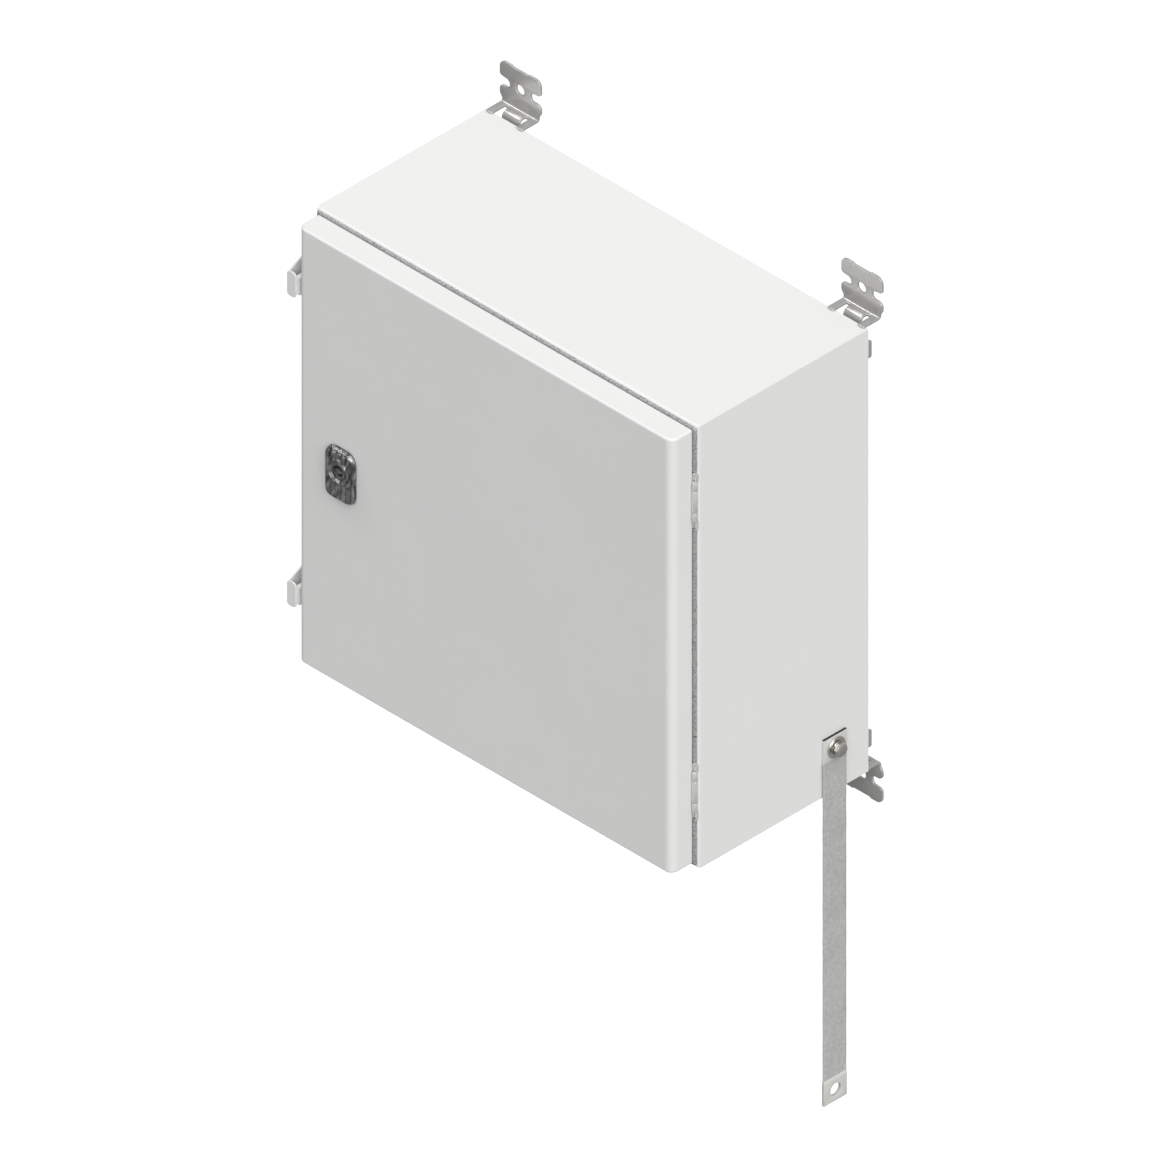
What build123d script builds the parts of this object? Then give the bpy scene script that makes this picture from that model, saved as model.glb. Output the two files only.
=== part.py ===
from build123d import *
import os

os.makedirs("parts", exist_ok=True)

# Wall-mounted control cabinet, millimetres.
# X runs to the right, Y to the wall behind, Z up. The origin is the middle of the four
# wall holes, in the wall's plane, so the cabinet lies at negative Y.

# Body
body_width = 400.0
body_height = 400.0
body_depth = 177.4
sheet = 1.5
fold_radius = 1.8
rim_inset = 24.0
lip_reach = 12.0

# Door
door_side_margin = 4.45
door_top_margin = 3.55
door_gap = 2.8
door_side = 21.16
door_corner_radius = 7.0
door_edge_radius = 1.8

# Gaskets
gasket_thickness = 2.4
gasket_width = 7.8
gasket_hinge_gap = 0.8
seal_width = 12.0
seal_clearance = 0.3

# Wall brackets
wall_gap = 14.2
bracket_sheet = 2.0
bracket_hole_inset = 21.5
bracket_hole_rise = 20.0
bracket_hole_radius = 4.25
bracket_width = 43.0
bracket_rise_above_hole = 17.9
bracket_lobe_below_hole = 14.6
bracket_corner = 6.0
bracket_neck = 38.0
bracket_bend = 1.2
bracket_root = 5.0
bracket_arm = 6.4
bracket_arm_overlap = 3.0
bracket_arm_corner = 1.8
bracket_recess_width = 17.0
bracket_recess_depth = 0.9
side_slot_radius = 4.3
side_slot_depth = 11.0
side_slot_mouth_up = 7.8
side_slot_mouth_down = 5.0
side_slot_flare = 4.6
tongue_width = 17.6
tongue_bend = 3.4
tongue_setback = 3.6
tongue_joggle_drop = 9.0
foot_drop = 32.0
foot_height = 19.0
foot_bolt_drop = 23.9
foot_ear_half = 16.7
foot_ear_height = 15.4
foot_ear_depth = 8.0

# Fasteners, M8 and M6
m8_radius = 4.0
m8_clearance = 0.5
m8_flats = 13.0
m8_head = 5.3
m8_nut = 6.5
m8_washer_radius = 8.4
m8_washer = 1.6
m6_radius = 3.0
m6_clearance = 0.4
m6_flats = 10.0
m6_head = 4.0
m6_nut = 5.0
m6_washer_radius = 9.0
m6_washer = 1.6
m6_spring_radius = 5.9
m6_spring = 1.6
thread_run_out = 3.0

# Mounting plate
plate_margin = 30.0
plate_thickness = 2.0
plate_corner = 6.0
plate_stud_inset = 20.0
plate_standoff = 12.0
plate_collar_radius = 8.0

# Cable-entry plate in the underside
entry_width = 240.0
entry_depth = 90.0
entry_border = 15.0
entry_plate = 1.5
entry_gasket = 2.0
entry_screw_radius = 2.5
entry_screw_head_radius = 4.6
entry_screw_head = 2.8
entry_screw_length = 9.0

# Hinges
hinge_upper_drop = 67.15
hinge_lower_rise = 70.15
hinge_length = 49.5
hinge_rim_thickness = 2.6
hinge_leaf = 1.2
hinge_leaf_width = 15.8
hinge_inset = 0.2
hinge_barrel_radius = 2.1
hinge_pin_radius = 1.2
hinge_pin_fit = 0.05
hinge_door_half = 9.6
hinge_knuckle_gap = 0.4
hinge_knuckle = 7.8
hinge_door_leaf_depth = 14.0
hinge_door_leaf_half = 20.0
rivet_radius = 1.6
rivet_head_radius = 2.9
rivet_head = 0.9
rivet_pitch = 32.0
rivet_inset = 11.6
rivet_fit = 0.1

# Lock
lock_inset = 46.95
lock_rise = 0.0
escutcheon_width = 30.0
escutcheon_height = 46.0
escutcheon_height_offset = 4.0
escutcheon_reach = 6.2
escutcheon_corner = 10.0
escutcheon_edge = 2.2
lock_seal = 0.8
lock_recess_radius = 8.6
lock_recess_depth = 2.6
lock_body_radius = 10.0
lock_body_length = 22.0
lock_bore_fit = 0.06
lock_hole_fit = 0.2
barrel_radius = 7.2
key_pit_radius = 4.8
key_pit_depth = 9.0
key_post_radius = 1.9
key_wing_width = 2.6
key_wing_span = 7.2
lock_nut_flats = 26.0
lock_nut = 5.0
cam_square = 8.0
cam_square_fit = 0.1
cam_thickness = 3.0
cam_behind_rim = 0.6
cam_length = 36.5
cam_width = 16.0
cam_hub_radius = 10.5
cam_washer_radius = 7.0
cam_washer = 1.2
cam_screw_radius = 2.5
cam_screw_head_radius = 4.6
cam_screw_head = 3.4
cam_screw_grip = 8.0
cam_screw_end_gap = 1.0
groove_count = 5
groove_pitch = 5.2
groove_width = 1.6
groove_depth = 1.0
groove_length = 12.0
groove_drop = 11.8

# Side guides on the door's free edge
guide_reach = 11.15
guide_sheet = 1.5
guide_end_inset = 59.75
guide_height = 22.0
guide_height_back = 32.0
guide_ramp = 14.0
guide_overlap = 8.0
guide_return = 16.0
guide_step = 2.4
guide_recess = 2.0
guide_corner = 3.0

# Earth strap on the right side
strap_width = 25.0
strap_thickness = 2.4
strap_end_thickness = 2.8
strap_end_length = 22.0
strap_hole_spacing = 310.0
strap_end_margin = 10.5
strap_bolt_hole_radius = 3.3
strap_lug_hole_radius = 5.25
strap_bolt_rise = 42.0
strap_bolt_back = 140.4
strap_edge = 0.5

# Earth studs
stud_length = 16.0
stud_base_radius = 5.0
stud_base = 1.2
door_stud_inset = 45.0
body_stud_inset = 80.0
body_stud_rise = 15.0

# Places worked out from the sizes above
rear_y = -(wall_gap + bracket_sheet)
front_y = rear_y - body_depth
half_width = body_width / 2
half_height = body_height / 2
lip_half_x = half_width - rim_inset
lip_half_z = half_height - rim_inset
door_half_x = half_width - door_side_margin
door_half_z = half_height - door_top_margin
door_rear_y = front_y - door_gap
door_front_y = door_rear_y - door_side
door_inner_y = door_front_y + sheet
bracket_hole_x = half_width - bracket_hole_inset
bracket_hole_z = half_height + bracket_hole_rise
foot_bolt_z = half_height - foot_bolt_drop
corners = [(side_x, side_z) for side_z in (1, -1) for side_x in (-1, 1)]
corner_names = {(-1, 1): "top_left", (1, 1): "top_right", (-1, -1): "bottom_left", (1, -1): "bottom_right"}
foot_bolts = [(side_x * bracket_hole_x, side_z * foot_bolt_z) for side_x, side_z in corners]
hinge_x = half_width - hinge_barrel_radius
hinge_y = front_y - hinge_barrel_radius
hinge_centres = [half_height - hinge_upper_drop, hinge_lower_rise - half_height]
hinge_names = ["upper", "lower"]
rivets_at = [
    (half_width - rivet_inset, hinge_z + side * rivet_pitch / 2)
    for hinge_z in hinge_centres
    for side in (1, -1)
]
lock_x = -(door_half_x - lock_inset)
plate_size_x = body_width - 2 * plate_margin
plate_size_z = body_height - 2 * plate_margin
plate_stud_x = plate_size_x / 2 - plate_stud_inset
plate_stud_z = plate_size_z / 2 - plate_stud_inset
plate_studs_at = [(side_x * plate_stud_x, side_z * plate_stud_z) for side_x, side_z in corners]
entry_y = (rear_y + front_y) / 2
entry_grid = ((entry_width + entry_border) / 2, entry_depth + entry_border, 3, 2)
earth_y = front_y + strap_bolt_back
earth_z = strap_bolt_rise - half_height


def at_x(x):
    """Plane facing right at this X: its own x is Y and its own y is Z."""
    return Plane.YZ.offset(x)


def at_y(y):
    """Plane facing the front at this Y: its own x is X and its own y is Z."""
    return Plane.XZ.offset(-y)


def at_z(z):
    """Plane facing up at this Z."""
    return Plane.XY.offset(z)


# Body sheet: four sides, the front rim folded in, and a lip turned to the front
with BuildPart() as body_sheet:
    with BuildSketch(at_y(rear_y)):
        Rectangle(body_width, body_height)
    extrude(amount=body_depth)
    fillet(body_sheet.faces().sort_by(Axis.Y)[0].edges(), radius=fold_radius)
    offset(amount=-sheet, openings=body_sheet.faces().sort_by(Axis.Y)[-1])
    with BuildSketch(at_y(front_y + sheet)):
        Rectangle(2 * lip_half_x, 2 * lip_half_z)
    extrude(amount=sheet, mode=Mode.SUBTRACT)
    with BuildSketch(at_y(front_y + sheet)):
        Rectangle(2 * lip_half_x, 2 * lip_half_z)
        Rectangle(2 * (lip_half_x - sheet), 2 * (lip_half_z - sheet), mode=Mode.SUBTRACT)
    extrude(amount=sheet + lip_reach)
    with BuildSketch(at_z(-half_height)):
        with Locations((0, entry_y)):
            Rectangle(entry_width, entry_depth)
            with GridLocations(*entry_grid):
                Circle(entry_screw_radius + m6_clearance)
    extrude(amount=sheet, mode=Mode.SUBTRACT)
    with BuildSketch(at_x(half_width)):
        with Locations((earth_y, earth_z)):
            Circle(m6_radius + m6_clearance)
    extrude(amount=-sheet, mode=Mode.SUBTRACT)
    with BuildSketch(at_y(front_y + sheet)):
        with Locations(*rivets_at):
            Circle(rivet_radius + rivet_fit)
    extrude(amount=sheet, mode=Mode.SUBTRACT)

# The sides, up to the rim's rear face
with BuildPart() as body_wrap:
    add(body_sheet.part)
    split(bisect_by=at_y(front_y + sheet), keep=Keep.BOTTOM)
body_wrap.part.label = "body_wrap"
export_step(body_wrap.part, "parts/body_wrap.step")

# The rim with its lip
with BuildPart() as front_rim:
    add(body_sheet.part)
    split(bisect_by=at_y(front_y + sheet), keep=Keep.TOP)
front_rim.part.label = "front_rim"
export_step(front_rim.part, "parts/front_rim.step")

# Rear panel, welded in flush with the rear edges
with BuildPart() as rear_panel:
    with BuildSketch(at_y(rear_y)):
        Rectangle(body_width - 2 * sheet, body_height - 2 * sheet)
        with Locations(*foot_bolts):
            Circle(m8_radius + m8_clearance, mode=Mode.SUBTRACT)
    extrude(amount=sheet)
rear_panel.part.label = "rear_panel"
export_step(rear_panel.part, "parts/rear_panel.step")

# Conductive gasket on the rim, interrupted by the hinges
with BuildPart() as rim_gasket:
    with BuildSketch(at_y(front_y)):
        outer_x = 2 * (half_width - fold_radius)
        outer_z = 2 * (half_height - fold_radius)
        Rectangle(outer_x, outer_z)
        Rectangle(outer_x - 2 * gasket_width, outer_z - 2 * gasket_width, mode=Mode.SUBTRACT)
        for hinge_z in hinge_centres:
            with Locations((half_width - fold_radius - gasket_width / 2, hinge_z)):
                Rectangle(2 * gasket_width, hinge_length + 2 * gasket_hinge_gap, mode=Mode.SUBTRACT)
    extrude(amount=gasket_thickness)
rim_gasket.part.label = "rim_gasket"
export_step(rim_gasket.part, "parts/rim_gasket.step")

# Door: a tray with rounded vertical edges, open to the rear
with BuildPart() as door_panel:
    with BuildSketch(at_z(-door_half_z)) as door_outline:
        with Locations((0, (door_front_y + door_rear_y) / 2)):
            Rectangle(2 * door_half_x, door_side)
        fillet(door_outline.vertices().group_by(Axis.Y)[0], radius=door_corner_radius)
    extrude(amount=2 * door_half_z)
    side_edges = door_panel.edges().filter_by(Axis.Z)
    rear_edges = door_panel.faces().sort_by(Axis.Y)[-1].edges()
    fillet(door_panel.edges() - side_edges - rear_edges, radius=door_edge_radius)
    with BuildSketch(at_z(-door_half_z + sheet)) as door_hollow:
        with Locations((0, (door_inner_y + door_rear_y) / 2)):
            Rectangle(2 * (door_half_x - sheet), door_side - sheet)
        fillet(door_hollow.vertices().group_by(Axis.Y)[0], radius=door_corner_radius - sheet)
    extrude(amount=2 * (door_half_z - sheet), mode=Mode.SUBTRACT)
    with BuildSketch(at_y(door_inner_y)):
        with Locations((lock_x, lock_rise)):
            Circle(lock_body_radius + lock_hole_fit)
    extrude(amount=sheet, mode=Mode.SUBTRACT)
door_panel.part.label = "door_panel"
export_step(door_panel.part, "parts/door_panel.step")

# Foam seal in the door, closing on the rim's lip
with BuildPart() as door_seal:
    with BuildSketch(at_y(front_y - lip_reach - seal_clearance)):
        Rectangle(2 * lip_half_x - sheet + seal_width, 2 * lip_half_z - sheet + seal_width)
        Rectangle(
            2 * lip_half_x - sheet - seal_width, 2 * lip_half_z - sheet - seal_width, mode=Mode.SUBTRACT
        )
    extrude(amount=front_y - lip_reach - seal_clearance - door_inner_y)
door_seal.part.label = "door_seal"
export_step(door_seal.part, "parts/door_seal.step")

# Wall brackets: wall plate with two open side slots, two arms that lie over the body's edge, and
# between them a tongue bent down to the foot on the rear panel
for side_x, side_z in corners:
    centre_x = side_x * bracket_hole_x
    shelf_low = half_height
    shelf_z = shelf_low + bracket_sheet
    plate_low = bracket_hole_z - bracket_lobe_below_hole
    plate_high = bracket_hole_z + bracket_rise_above_hole
    neck_low = shelf_z + 2 * bracket_bend
    half_plate = bracket_width / 2
    slot_centre = side_slot_depth + side_slot_radius
    with BuildPart() as wall_bracket:
        with BuildSketch(at_y(0)) as wall_plate:
            with Locations((centre_x, side_z * (plate_low + plate_high) / 2)):
                RectangleRounded(bracket_width, plate_high - plate_low, bracket_corner)
            with Locations((centre_x, side_z * (neck_low + bracket_hole_z) / 2)):
                Rectangle(bracket_neck, bracket_hole_z - neck_low)
            with Locations((centre_x, side_z * plate_high)):
                Rectangle(bracket_recess_width, 2 * bracket_recess_depth, mode=Mode.SUBTRACT)
            with Locations((centre_x, side_z * bracket_hole_z)):
                Circle(bracket_hole_radius, mode=Mode.SUBTRACT)
            for side in (-1, 1):
                with Locations((centre_x + side * slot_centre, side_z * bracket_hole_z)):
                    Circle(side_slot_radius, mode=Mode.SUBTRACT)
                mouth_x = centre_x + side * half_plate
                flare_x = centre_x + side * (half_plate - side_slot_flare)
                inner_x = centre_x + side * slot_centre
                with BuildLine():
                    Polyline(
                        (inner_x, side_z * (bracket_hole_z + side_slot_radius)),
                        (flare_x, side_z * (bracket_hole_z + side_slot_radius)),
                        (mouth_x, side_z * (bracket_hole_z + side_slot_mouth_up)),
                        (mouth_x, side_z * (bracket_hole_z - side_slot_mouth_down)),
                        (inner_x, side_z * (bracket_hole_z - side_slot_radius)),
                        close=True,
                    )
                make_face(mode=Mode.SUBTRACT)
        extrude(amount=bracket_sheet)
        with BuildSketch(at_x(centre_x - bracket_neck / 2)) as root_profile:
            with BuildLine():
                Polyline(
                    (0, side_z * neck_low),
                    (0, side_z * shelf_low),
                    (-bracket_root, side_z * shelf_low),
                    (-bracket_root, side_z * shelf_z),
                    (-bracket_sheet, side_z * shelf_z),
                    (-bracket_sheet, side_z * neck_low),
                    close=True,
                )
            make_face()
            outer_bend = root_profile.vertices().sort_by_distance((0, side_z * shelf_low))[0]
            fillet(outer_bend, radius=bracket_bend + bracket_sheet)
            inner_bend = root_profile.vertices().sort_by_distance((-bracket_sheet, side_z * shelf_z))[0]
            fillet(inner_bend, radius=bracket_bend)
        extrude(amount=bracket_neck)
        with BuildSketch(at_z(side_z * shelf_z)) as arms:
            arm_front = rear_y - bracket_arm_overlap
            with Locations((centre_x, (arm_front - bracket_sheet) / 2)):
                with GridLocations(bracket_neck - bracket_arm, 0, 2, 1):
                    Rectangle(bracket_arm, -arm_front - bracket_sheet)
            fillet(arms.vertices().group_by(Axis.Y)[0], radius=bracket_arm_corner)
        extrude(amount=-side_z * bracket_sheet)
        with BuildSketch(at_x(centre_x - tongue_width / 2)) as tongue_profile:
            tongue_y = rear_y + tongue_setback
            tongue_low = shelf_z - tongue_joggle_drop
            joggle_low = tongue_low - tongue_setback
            foot_low = shelf_low - foot_drop
            with BuildLine():
                Polyline(
                    (-bracket_sheet, side_z * shelf_z),
                    (tongue_y, side_z * shelf_z),
                    (tongue_y, side_z * tongue_low),
                    (rear_y, side_z * joggle_low),
                    (rear_y, side_z * foot_low),
                    (rear_y + bracket_sheet, side_z * foot_low),
                    (rear_y + bracket_sheet, side_z * joggle_low),
                    (tongue_y + bracket_sheet, side_z * tongue_low),
                    (tongue_y + bracket_sheet, side_z * shelf_low),
                    (-bracket_sheet, side_z * shelf_low),
                    close=True,
                )
            make_face()
            outer_bend = tongue_profile.vertices().sort_by_distance((tongue_y, side_z * shelf_z))[0]
            fillet(outer_bend, radius=tongue_bend + bracket_sheet)
            under_bend = (tongue_y + bracket_sheet, side_z * shelf_low)
            fillet(tongue_profile.vertices().sort_by_distance(under_bend)[0], radius=tongue_bend)
        extrude(amount=tongue_width)
        with BuildSketch(at_y(rear_y + bracket_sheet)):
            with Locations((centre_x, side_z * (foot_low + foot_height / 2))):
                Rectangle(bracket_neck, foot_height)
        extrude(amount=bracket_sheet)
        with BuildSketch(at_y(rear_y + foot_ear_depth)):
            for side in (-1, 1):
                ear_x = centre_x + side * (foot_ear_half - bracket_sheet / 2)
                with Locations((ear_x, side_z * foot_bolt_z)):
                    Rectangle(bracket_sheet, foot_ear_height)
        extrude(amount=foot_ear_depth)
        with BuildSketch(at_y(rear_y + bracket_sheet)):
            with Locations((centre_x, side_z * foot_bolt_z)):
                Circle(m8_radius + m8_clearance)
        extrude(amount=bracket_sheet, mode=Mode.SUBTRACT)
    node = "wall_bracket_" + corner_names[(side_x, side_z)]
    wall_bracket.part.label = node
    export_step(wall_bracket.part, f"parts/{node}.step")

# Bracket bolts, through the feet and the rear panel
with BuildPart() as bracket_bolts:
    with BuildSketch(at_y(rear_y + bracket_sheet + m8_head)):
        with Locations(*foot_bolts):
            RegularPolygon(m8_flats / 2, 6, major_radius=False)
    extrude(amount=m8_head)
    with BuildSketch(at_y(rear_y + bracket_sheet)):
        with Locations(*foot_bolts):
            Circle(m8_radius)
    extrude(amount=bracket_sheet + sheet + m8_washer + m8_nut + thread_run_out)
bracket_bolts.part.label = "bracket_bolts"
export_step(bracket_bolts.part, "parts/bracket_bolts.step")

# Seal washers inside the body
with BuildPart() as bracket_seal_washers:
    with BuildSketch(at_y(rear_y - sheet)):
        with Locations(*foot_bolts):
            Circle(m8_washer_radius)
            Circle(m8_radius + m8_clearance / 2, mode=Mode.SUBTRACT)
    extrude(amount=m8_washer)
bracket_seal_washers.part.label = "bracket_seal_washers"
export_step(bracket_seal_washers.part, "parts/bracket_seal_washers.step")

# Nuts inside the body
with BuildPart() as bracket_nuts:
    with BuildSketch(at_y(rear_y - sheet - m8_washer)):
        with Locations(*foot_bolts):
            RegularPolygon(m8_flats / 2, 6, major_radius=False)
            Circle(m8_radius + m8_clearance / 4, mode=Mode.SUBTRACT)
    extrude(amount=m8_nut)
bracket_nuts.part.label = "bracket_nuts"
export_step(bracket_nuts.part, "parts/bracket_nuts.step")

# Studs welded to the rear panel, with a collar that carries the mounting plate
plate_rear_y = rear_y - sheet - plate_standoff
plate_front_y = plate_rear_y - plate_thickness
with BuildPart() as plate_studs:
    with BuildSketch(at_y(rear_y - sheet)):
        with Locations(*plate_studs_at):
            Circle(plate_collar_radius)
    extrude(amount=plate_standoff)
    with BuildSketch(at_y(plate_rear_y)):
        with Locations(*plate_studs_at):
            Circle(m8_radius)
    extrude(amount=plate_thickness + m8_washer + m8_nut + thread_run_out)
plate_studs.part.label = "plate_studs"
export_step(plate_studs.part, "parts/plate_studs.step")

# Mounting plate
with BuildPart() as mounting_plate:
    with BuildSketch(at_y(plate_rear_y)):
        RectangleRounded(plate_size_x, plate_size_z, plate_corner)
        with Locations(*plate_studs_at):
            Circle(m8_radius + m8_clearance, mode=Mode.SUBTRACT)
    extrude(amount=plate_thickness)
mounting_plate.part.label = "mounting_plate"
export_step(mounting_plate.part, "parts/mounting_plate.step")

# Washers on the mounting plate
with BuildPart() as plate_washers:
    with BuildSketch(at_y(plate_front_y)):
        with Locations(*plate_studs_at):
            Circle(m8_washer_radius)
            Circle(m8_radius + m8_clearance / 2, mode=Mode.SUBTRACT)
    extrude(amount=m8_washer)
plate_washers.part.label = "plate_washers"
export_step(plate_washers.part, "parts/plate_washers.step")

# Nuts on the mounting plate
with BuildPart() as plate_nuts:
    with BuildSketch(at_y(plate_front_y - m8_washer)):
        with Locations(*plate_studs_at):
            RegularPolygon(m8_flats / 2, 6, major_radius=False)
            Circle(m8_radius + m8_clearance / 4, mode=Mode.SUBTRACT)
    extrude(amount=m8_nut)
plate_nuts.part.label = "plate_nuts"
export_step(plate_nuts.part, "parts/plate_nuts.step")

# Cable-entry gasket under the body
with BuildPart() as entry_gasket_ring:
    with BuildSketch(at_z(-half_height)):
        with Locations((0, entry_y)):
            Rectangle(entry_width + 2 * entry_border, entry_depth + 2 * entry_border)
            Rectangle(entry_width, entry_depth, mode=Mode.SUBTRACT)
            with GridLocations(*entry_grid):
                Circle(entry_screw_radius + m6_clearance, mode=Mode.SUBTRACT)
    extrude(amount=-entry_gasket)
entry_gasket_ring.part.label = "entry_gasket"
export_step(entry_gasket_ring.part, "parts/entry_gasket.step")

# Cable-entry plate
with BuildPart() as entry_cover:
    with BuildSketch(at_z(-half_height - entry_gasket)):
        with Locations((0, entry_y)):
            Rectangle(entry_width + 2 * entry_border, entry_depth + 2 * entry_border)
            with GridLocations(*entry_grid):
                Circle(entry_screw_radius + m6_clearance, mode=Mode.SUBTRACT)
    extrude(amount=-entry_plate)
entry_cover.part.label = "entry_plate"
export_step(entry_cover.part, "parts/entry_plate.step")

# Screws of the cable-entry plate
with BuildPart() as entry_screws:
    with BuildSketch(at_z(-half_height - entry_gasket - entry_plate)):
        with Locations((0, entry_y)):
            with GridLocations(*entry_grid):
                Circle(entry_screw_head_radius)
    extrude(amount=-entry_screw_head)
    with BuildSketch(at_z(-half_height - entry_gasket - entry_plate)):
        with Locations((0, entry_y)):
            with GridLocations(*entry_grid):
                Circle(entry_screw_radius)
    extrude(amount=entry_screw_length)
entry_screws.part.label = "entry_screws"
export_step(entry_screws.part, "parts/entry_screws.step")

# Hinges in the gap beside the door: frame leaf, door leaf and pin
leaf_edge_x = half_width - hinge_inset
leaf_inner_x = leaf_edge_x - hinge_leaf_width
clear_x = hinge_x - hinge_barrel_radius - hinge_knuckle_gap
lug_left_x = clear_x - hinge_leaf
lug_front_x = hinge_x - hinge_barrel_radius
for hinge_z, name in zip(hinge_centres, hinge_names):
    frame_knuckle_mid = hinge_door_half + hinge_knuckle_gap + hinge_knuckle / 2
    end_height = hinge_length / 2 - hinge_door_half - hinge_knuckle - 2 * hinge_knuckle_gap
    end_mid = hinge_length / 2 - end_height / 2
    with BuildPart() as frame_leaf:
        with BuildSketch(at_y(front_y)):
            with Locations(((leaf_inner_x + clear_x) / 2, hinge_z)):
                Rectangle(clear_x - leaf_inner_x, hinge_length)
            with Locations(*rivets_at):
                Circle(rivet_radius + rivet_fit, mode=Mode.SUBTRACT)
            for side in (-1, 1):
                with Locations(((lug_left_x + hinge_x) / 2, hinge_z + side * frame_knuckle_mid)):
                    Rectangle(hinge_x - lug_left_x, hinge_knuckle)
                with Locations(((lug_left_x + leaf_edge_x) / 2, hinge_z + side * end_mid)):
                    Rectangle(leaf_edge_x - lug_left_x, end_height)
        extrude(amount=hinge_leaf)
        with BuildSketch(at_y(front_y)):
            for side in (-1, 1):
                with Locations(((lug_front_x + leaf_edge_x) / 2, hinge_z + side * end_mid)):
                    Rectangle(leaf_edge_x - lug_front_x, end_height)
        extrude(amount=hinge_rim_thickness)
        for side in (-1, 1):
            with BuildSketch(at_z(hinge_z + side * frame_knuckle_mid - hinge_knuckle / 2)):
                with Locations((hinge_x, hinge_y)):
                    Circle(hinge_barrel_radius)
            extrude(amount=hinge_knuckle)
        with BuildSketch(at_z(hinge_z - hinge_length / 2)):
            with Locations((hinge_x, hinge_y)):
                Circle(hinge_pin_radius + hinge_pin_fit)
        extrude(amount=hinge_length, mode=Mode.SUBTRACT)
    frame_leaf.part.label = f"hinge_frame_leaf_{name}"
    export_step(frame_leaf.part, f"parts/hinge_frame_leaf_{name}.step")

    with BuildPart() as door_leaf:
        with BuildSketch(at_z(hinge_z - hinge_door_half)):
            with Locations((hinge_x, hinge_y)):
                Circle(hinge_barrel_radius)
            strip_left = door_half_x - sheet - hinge_leaf
            with Locations(((strip_left + hinge_x) / 2, door_rear_y + hinge_leaf / 2)):
                Rectangle(hinge_x - strip_left, hinge_leaf)
        extrude(amount=2 * hinge_door_half)
        with BuildSketch(at_z(hinge_z - hinge_door_leaf_half)):
            with Locations((door_half_x - sheet - hinge_leaf / 2, door_rear_y - hinge_door_leaf_depth / 2)):
                Rectangle(hinge_leaf, hinge_door_leaf_depth)
        extrude(amount=2 * hinge_door_leaf_half)
        with BuildSketch(at_z(hinge_z - hinge_length / 2)):
            with Locations((hinge_x, hinge_y)):
                Circle(hinge_pin_radius + hinge_pin_fit)
        extrude(amount=hinge_length, mode=Mode.SUBTRACT)
    door_leaf.part.label = f"hinge_door_leaf_{name}"
    export_step(door_leaf.part, f"parts/hinge_door_leaf_{name}.step")

    pin_half = hinge_door_half + hinge_knuckle_gap + hinge_knuckle
    with BuildPart() as hinge_pin:
        with BuildSketch(at_z(hinge_z - pin_half)):
            with Locations((hinge_x, hinge_y)):
                Circle(hinge_pin_radius)
        extrude(amount=2 * pin_half)
    hinge_pin.part.label = f"hinge_pin_{name}"
    export_step(hinge_pin.part, f"parts/hinge_pin_{name}.step")

# Rivets that hold the frame leaves on the rim
with BuildPart() as hinge_rivets:
    with BuildSketch(at_y(front_y - hinge_leaf)):
        with Locations(*rivets_at):
            Circle(rivet_head_radius)
    extrude(amount=rivet_head)
    with BuildSketch(at_y(front_y + sheet + rivet_head)):
        with Locations(*rivets_at):
            Circle(rivet_radius)
    extrude(amount=rivet_head + sheet + hinge_leaf)
    with BuildSketch(at_y(front_y + sheet + rivet_head)):
        with Locations(*rivets_at):
            Circle(rivet_head_radius)
    extrude(amount=rivet_head)
hinge_rivets.part.label = "hinge_rivets"
export_step(hinge_rivets.part, "parts/hinge_rivets.step")

# Lock housing: escutcheon in front of the door and threaded body through it
escutcheon_z = lock_rise - escutcheon_height_offset
escutcheon_back_y = door_front_y - lock_seal
escutcheon_front_y = escutcheon_back_y - escutcheon_reach
barrel_front_y = escutcheon_front_y + lock_recess_depth
lock_body_end_y = door_front_y + lock_body_length
with BuildPart() as lock_housing:
    with BuildSketch(at_y(escutcheon_back_y)):
        with Locations((lock_x, escutcheon_z)):
            RectangleRounded(escutcheon_width, escutcheon_height, escutcheon_corner)
    extrude(amount=escutcheon_reach)
    fillet(lock_housing.faces().sort_by(Axis.Y)[0].edges(), radius=escutcheon_edge)
    with BuildSketch(at_y(lock_body_end_y)):
        with Locations((lock_x, lock_rise)):
            Circle(lock_body_radius)
    extrude(amount=lock_body_end_y - escutcheon_back_y)
    with BuildSketch(at_y(barrel_front_y)):
        with Locations((lock_x, lock_rise)):
            Circle(lock_recess_radius)
    extrude(amount=lock_recess_depth, mode=Mode.SUBTRACT)
    with BuildSketch(at_y(lock_body_end_y)):
        with Locations((lock_x, lock_rise)):
            Circle(barrel_radius + lock_bore_fit)
    extrude(amount=lock_body_end_y - barrel_front_y, mode=Mode.SUBTRACT)
    with BuildSketch(at_y(escutcheon_front_y + groove_depth)):
        with Locations((lock_x, escutcheon_z - groove_drop)):
            with GridLocations(groove_pitch, groove_pitch, groove_count, 1):
                SlotOverall(groove_length, groove_width, rotation=90)
    extrude(amount=groove_depth, mode=Mode.SUBTRACT)
lock_housing.part.label = "lock_housing"
export_step(lock_housing.part, "parts/lock_housing.step")

# Flat seal between escutcheon and door
with BuildPart() as lock_gasket:
    with BuildSketch(at_y(door_front_y)):
        with Locations((lock_x, escutcheon_z)):
            RectangleRounded(
                escutcheon_width - lock_seal, escutcheon_height - lock_seal, escutcheon_corner - lock_seal / 2
            )
        with Locations((lock_x, lock_rise)):
            Circle(lock_body_radius + lock_hole_fit, mode=Mode.SUBTRACT)
    extrude(amount=lock_seal)
lock_gasket.part.label = "lock_seal"
export_step(lock_gasket.part, "parts/lock_seal.step")

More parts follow.
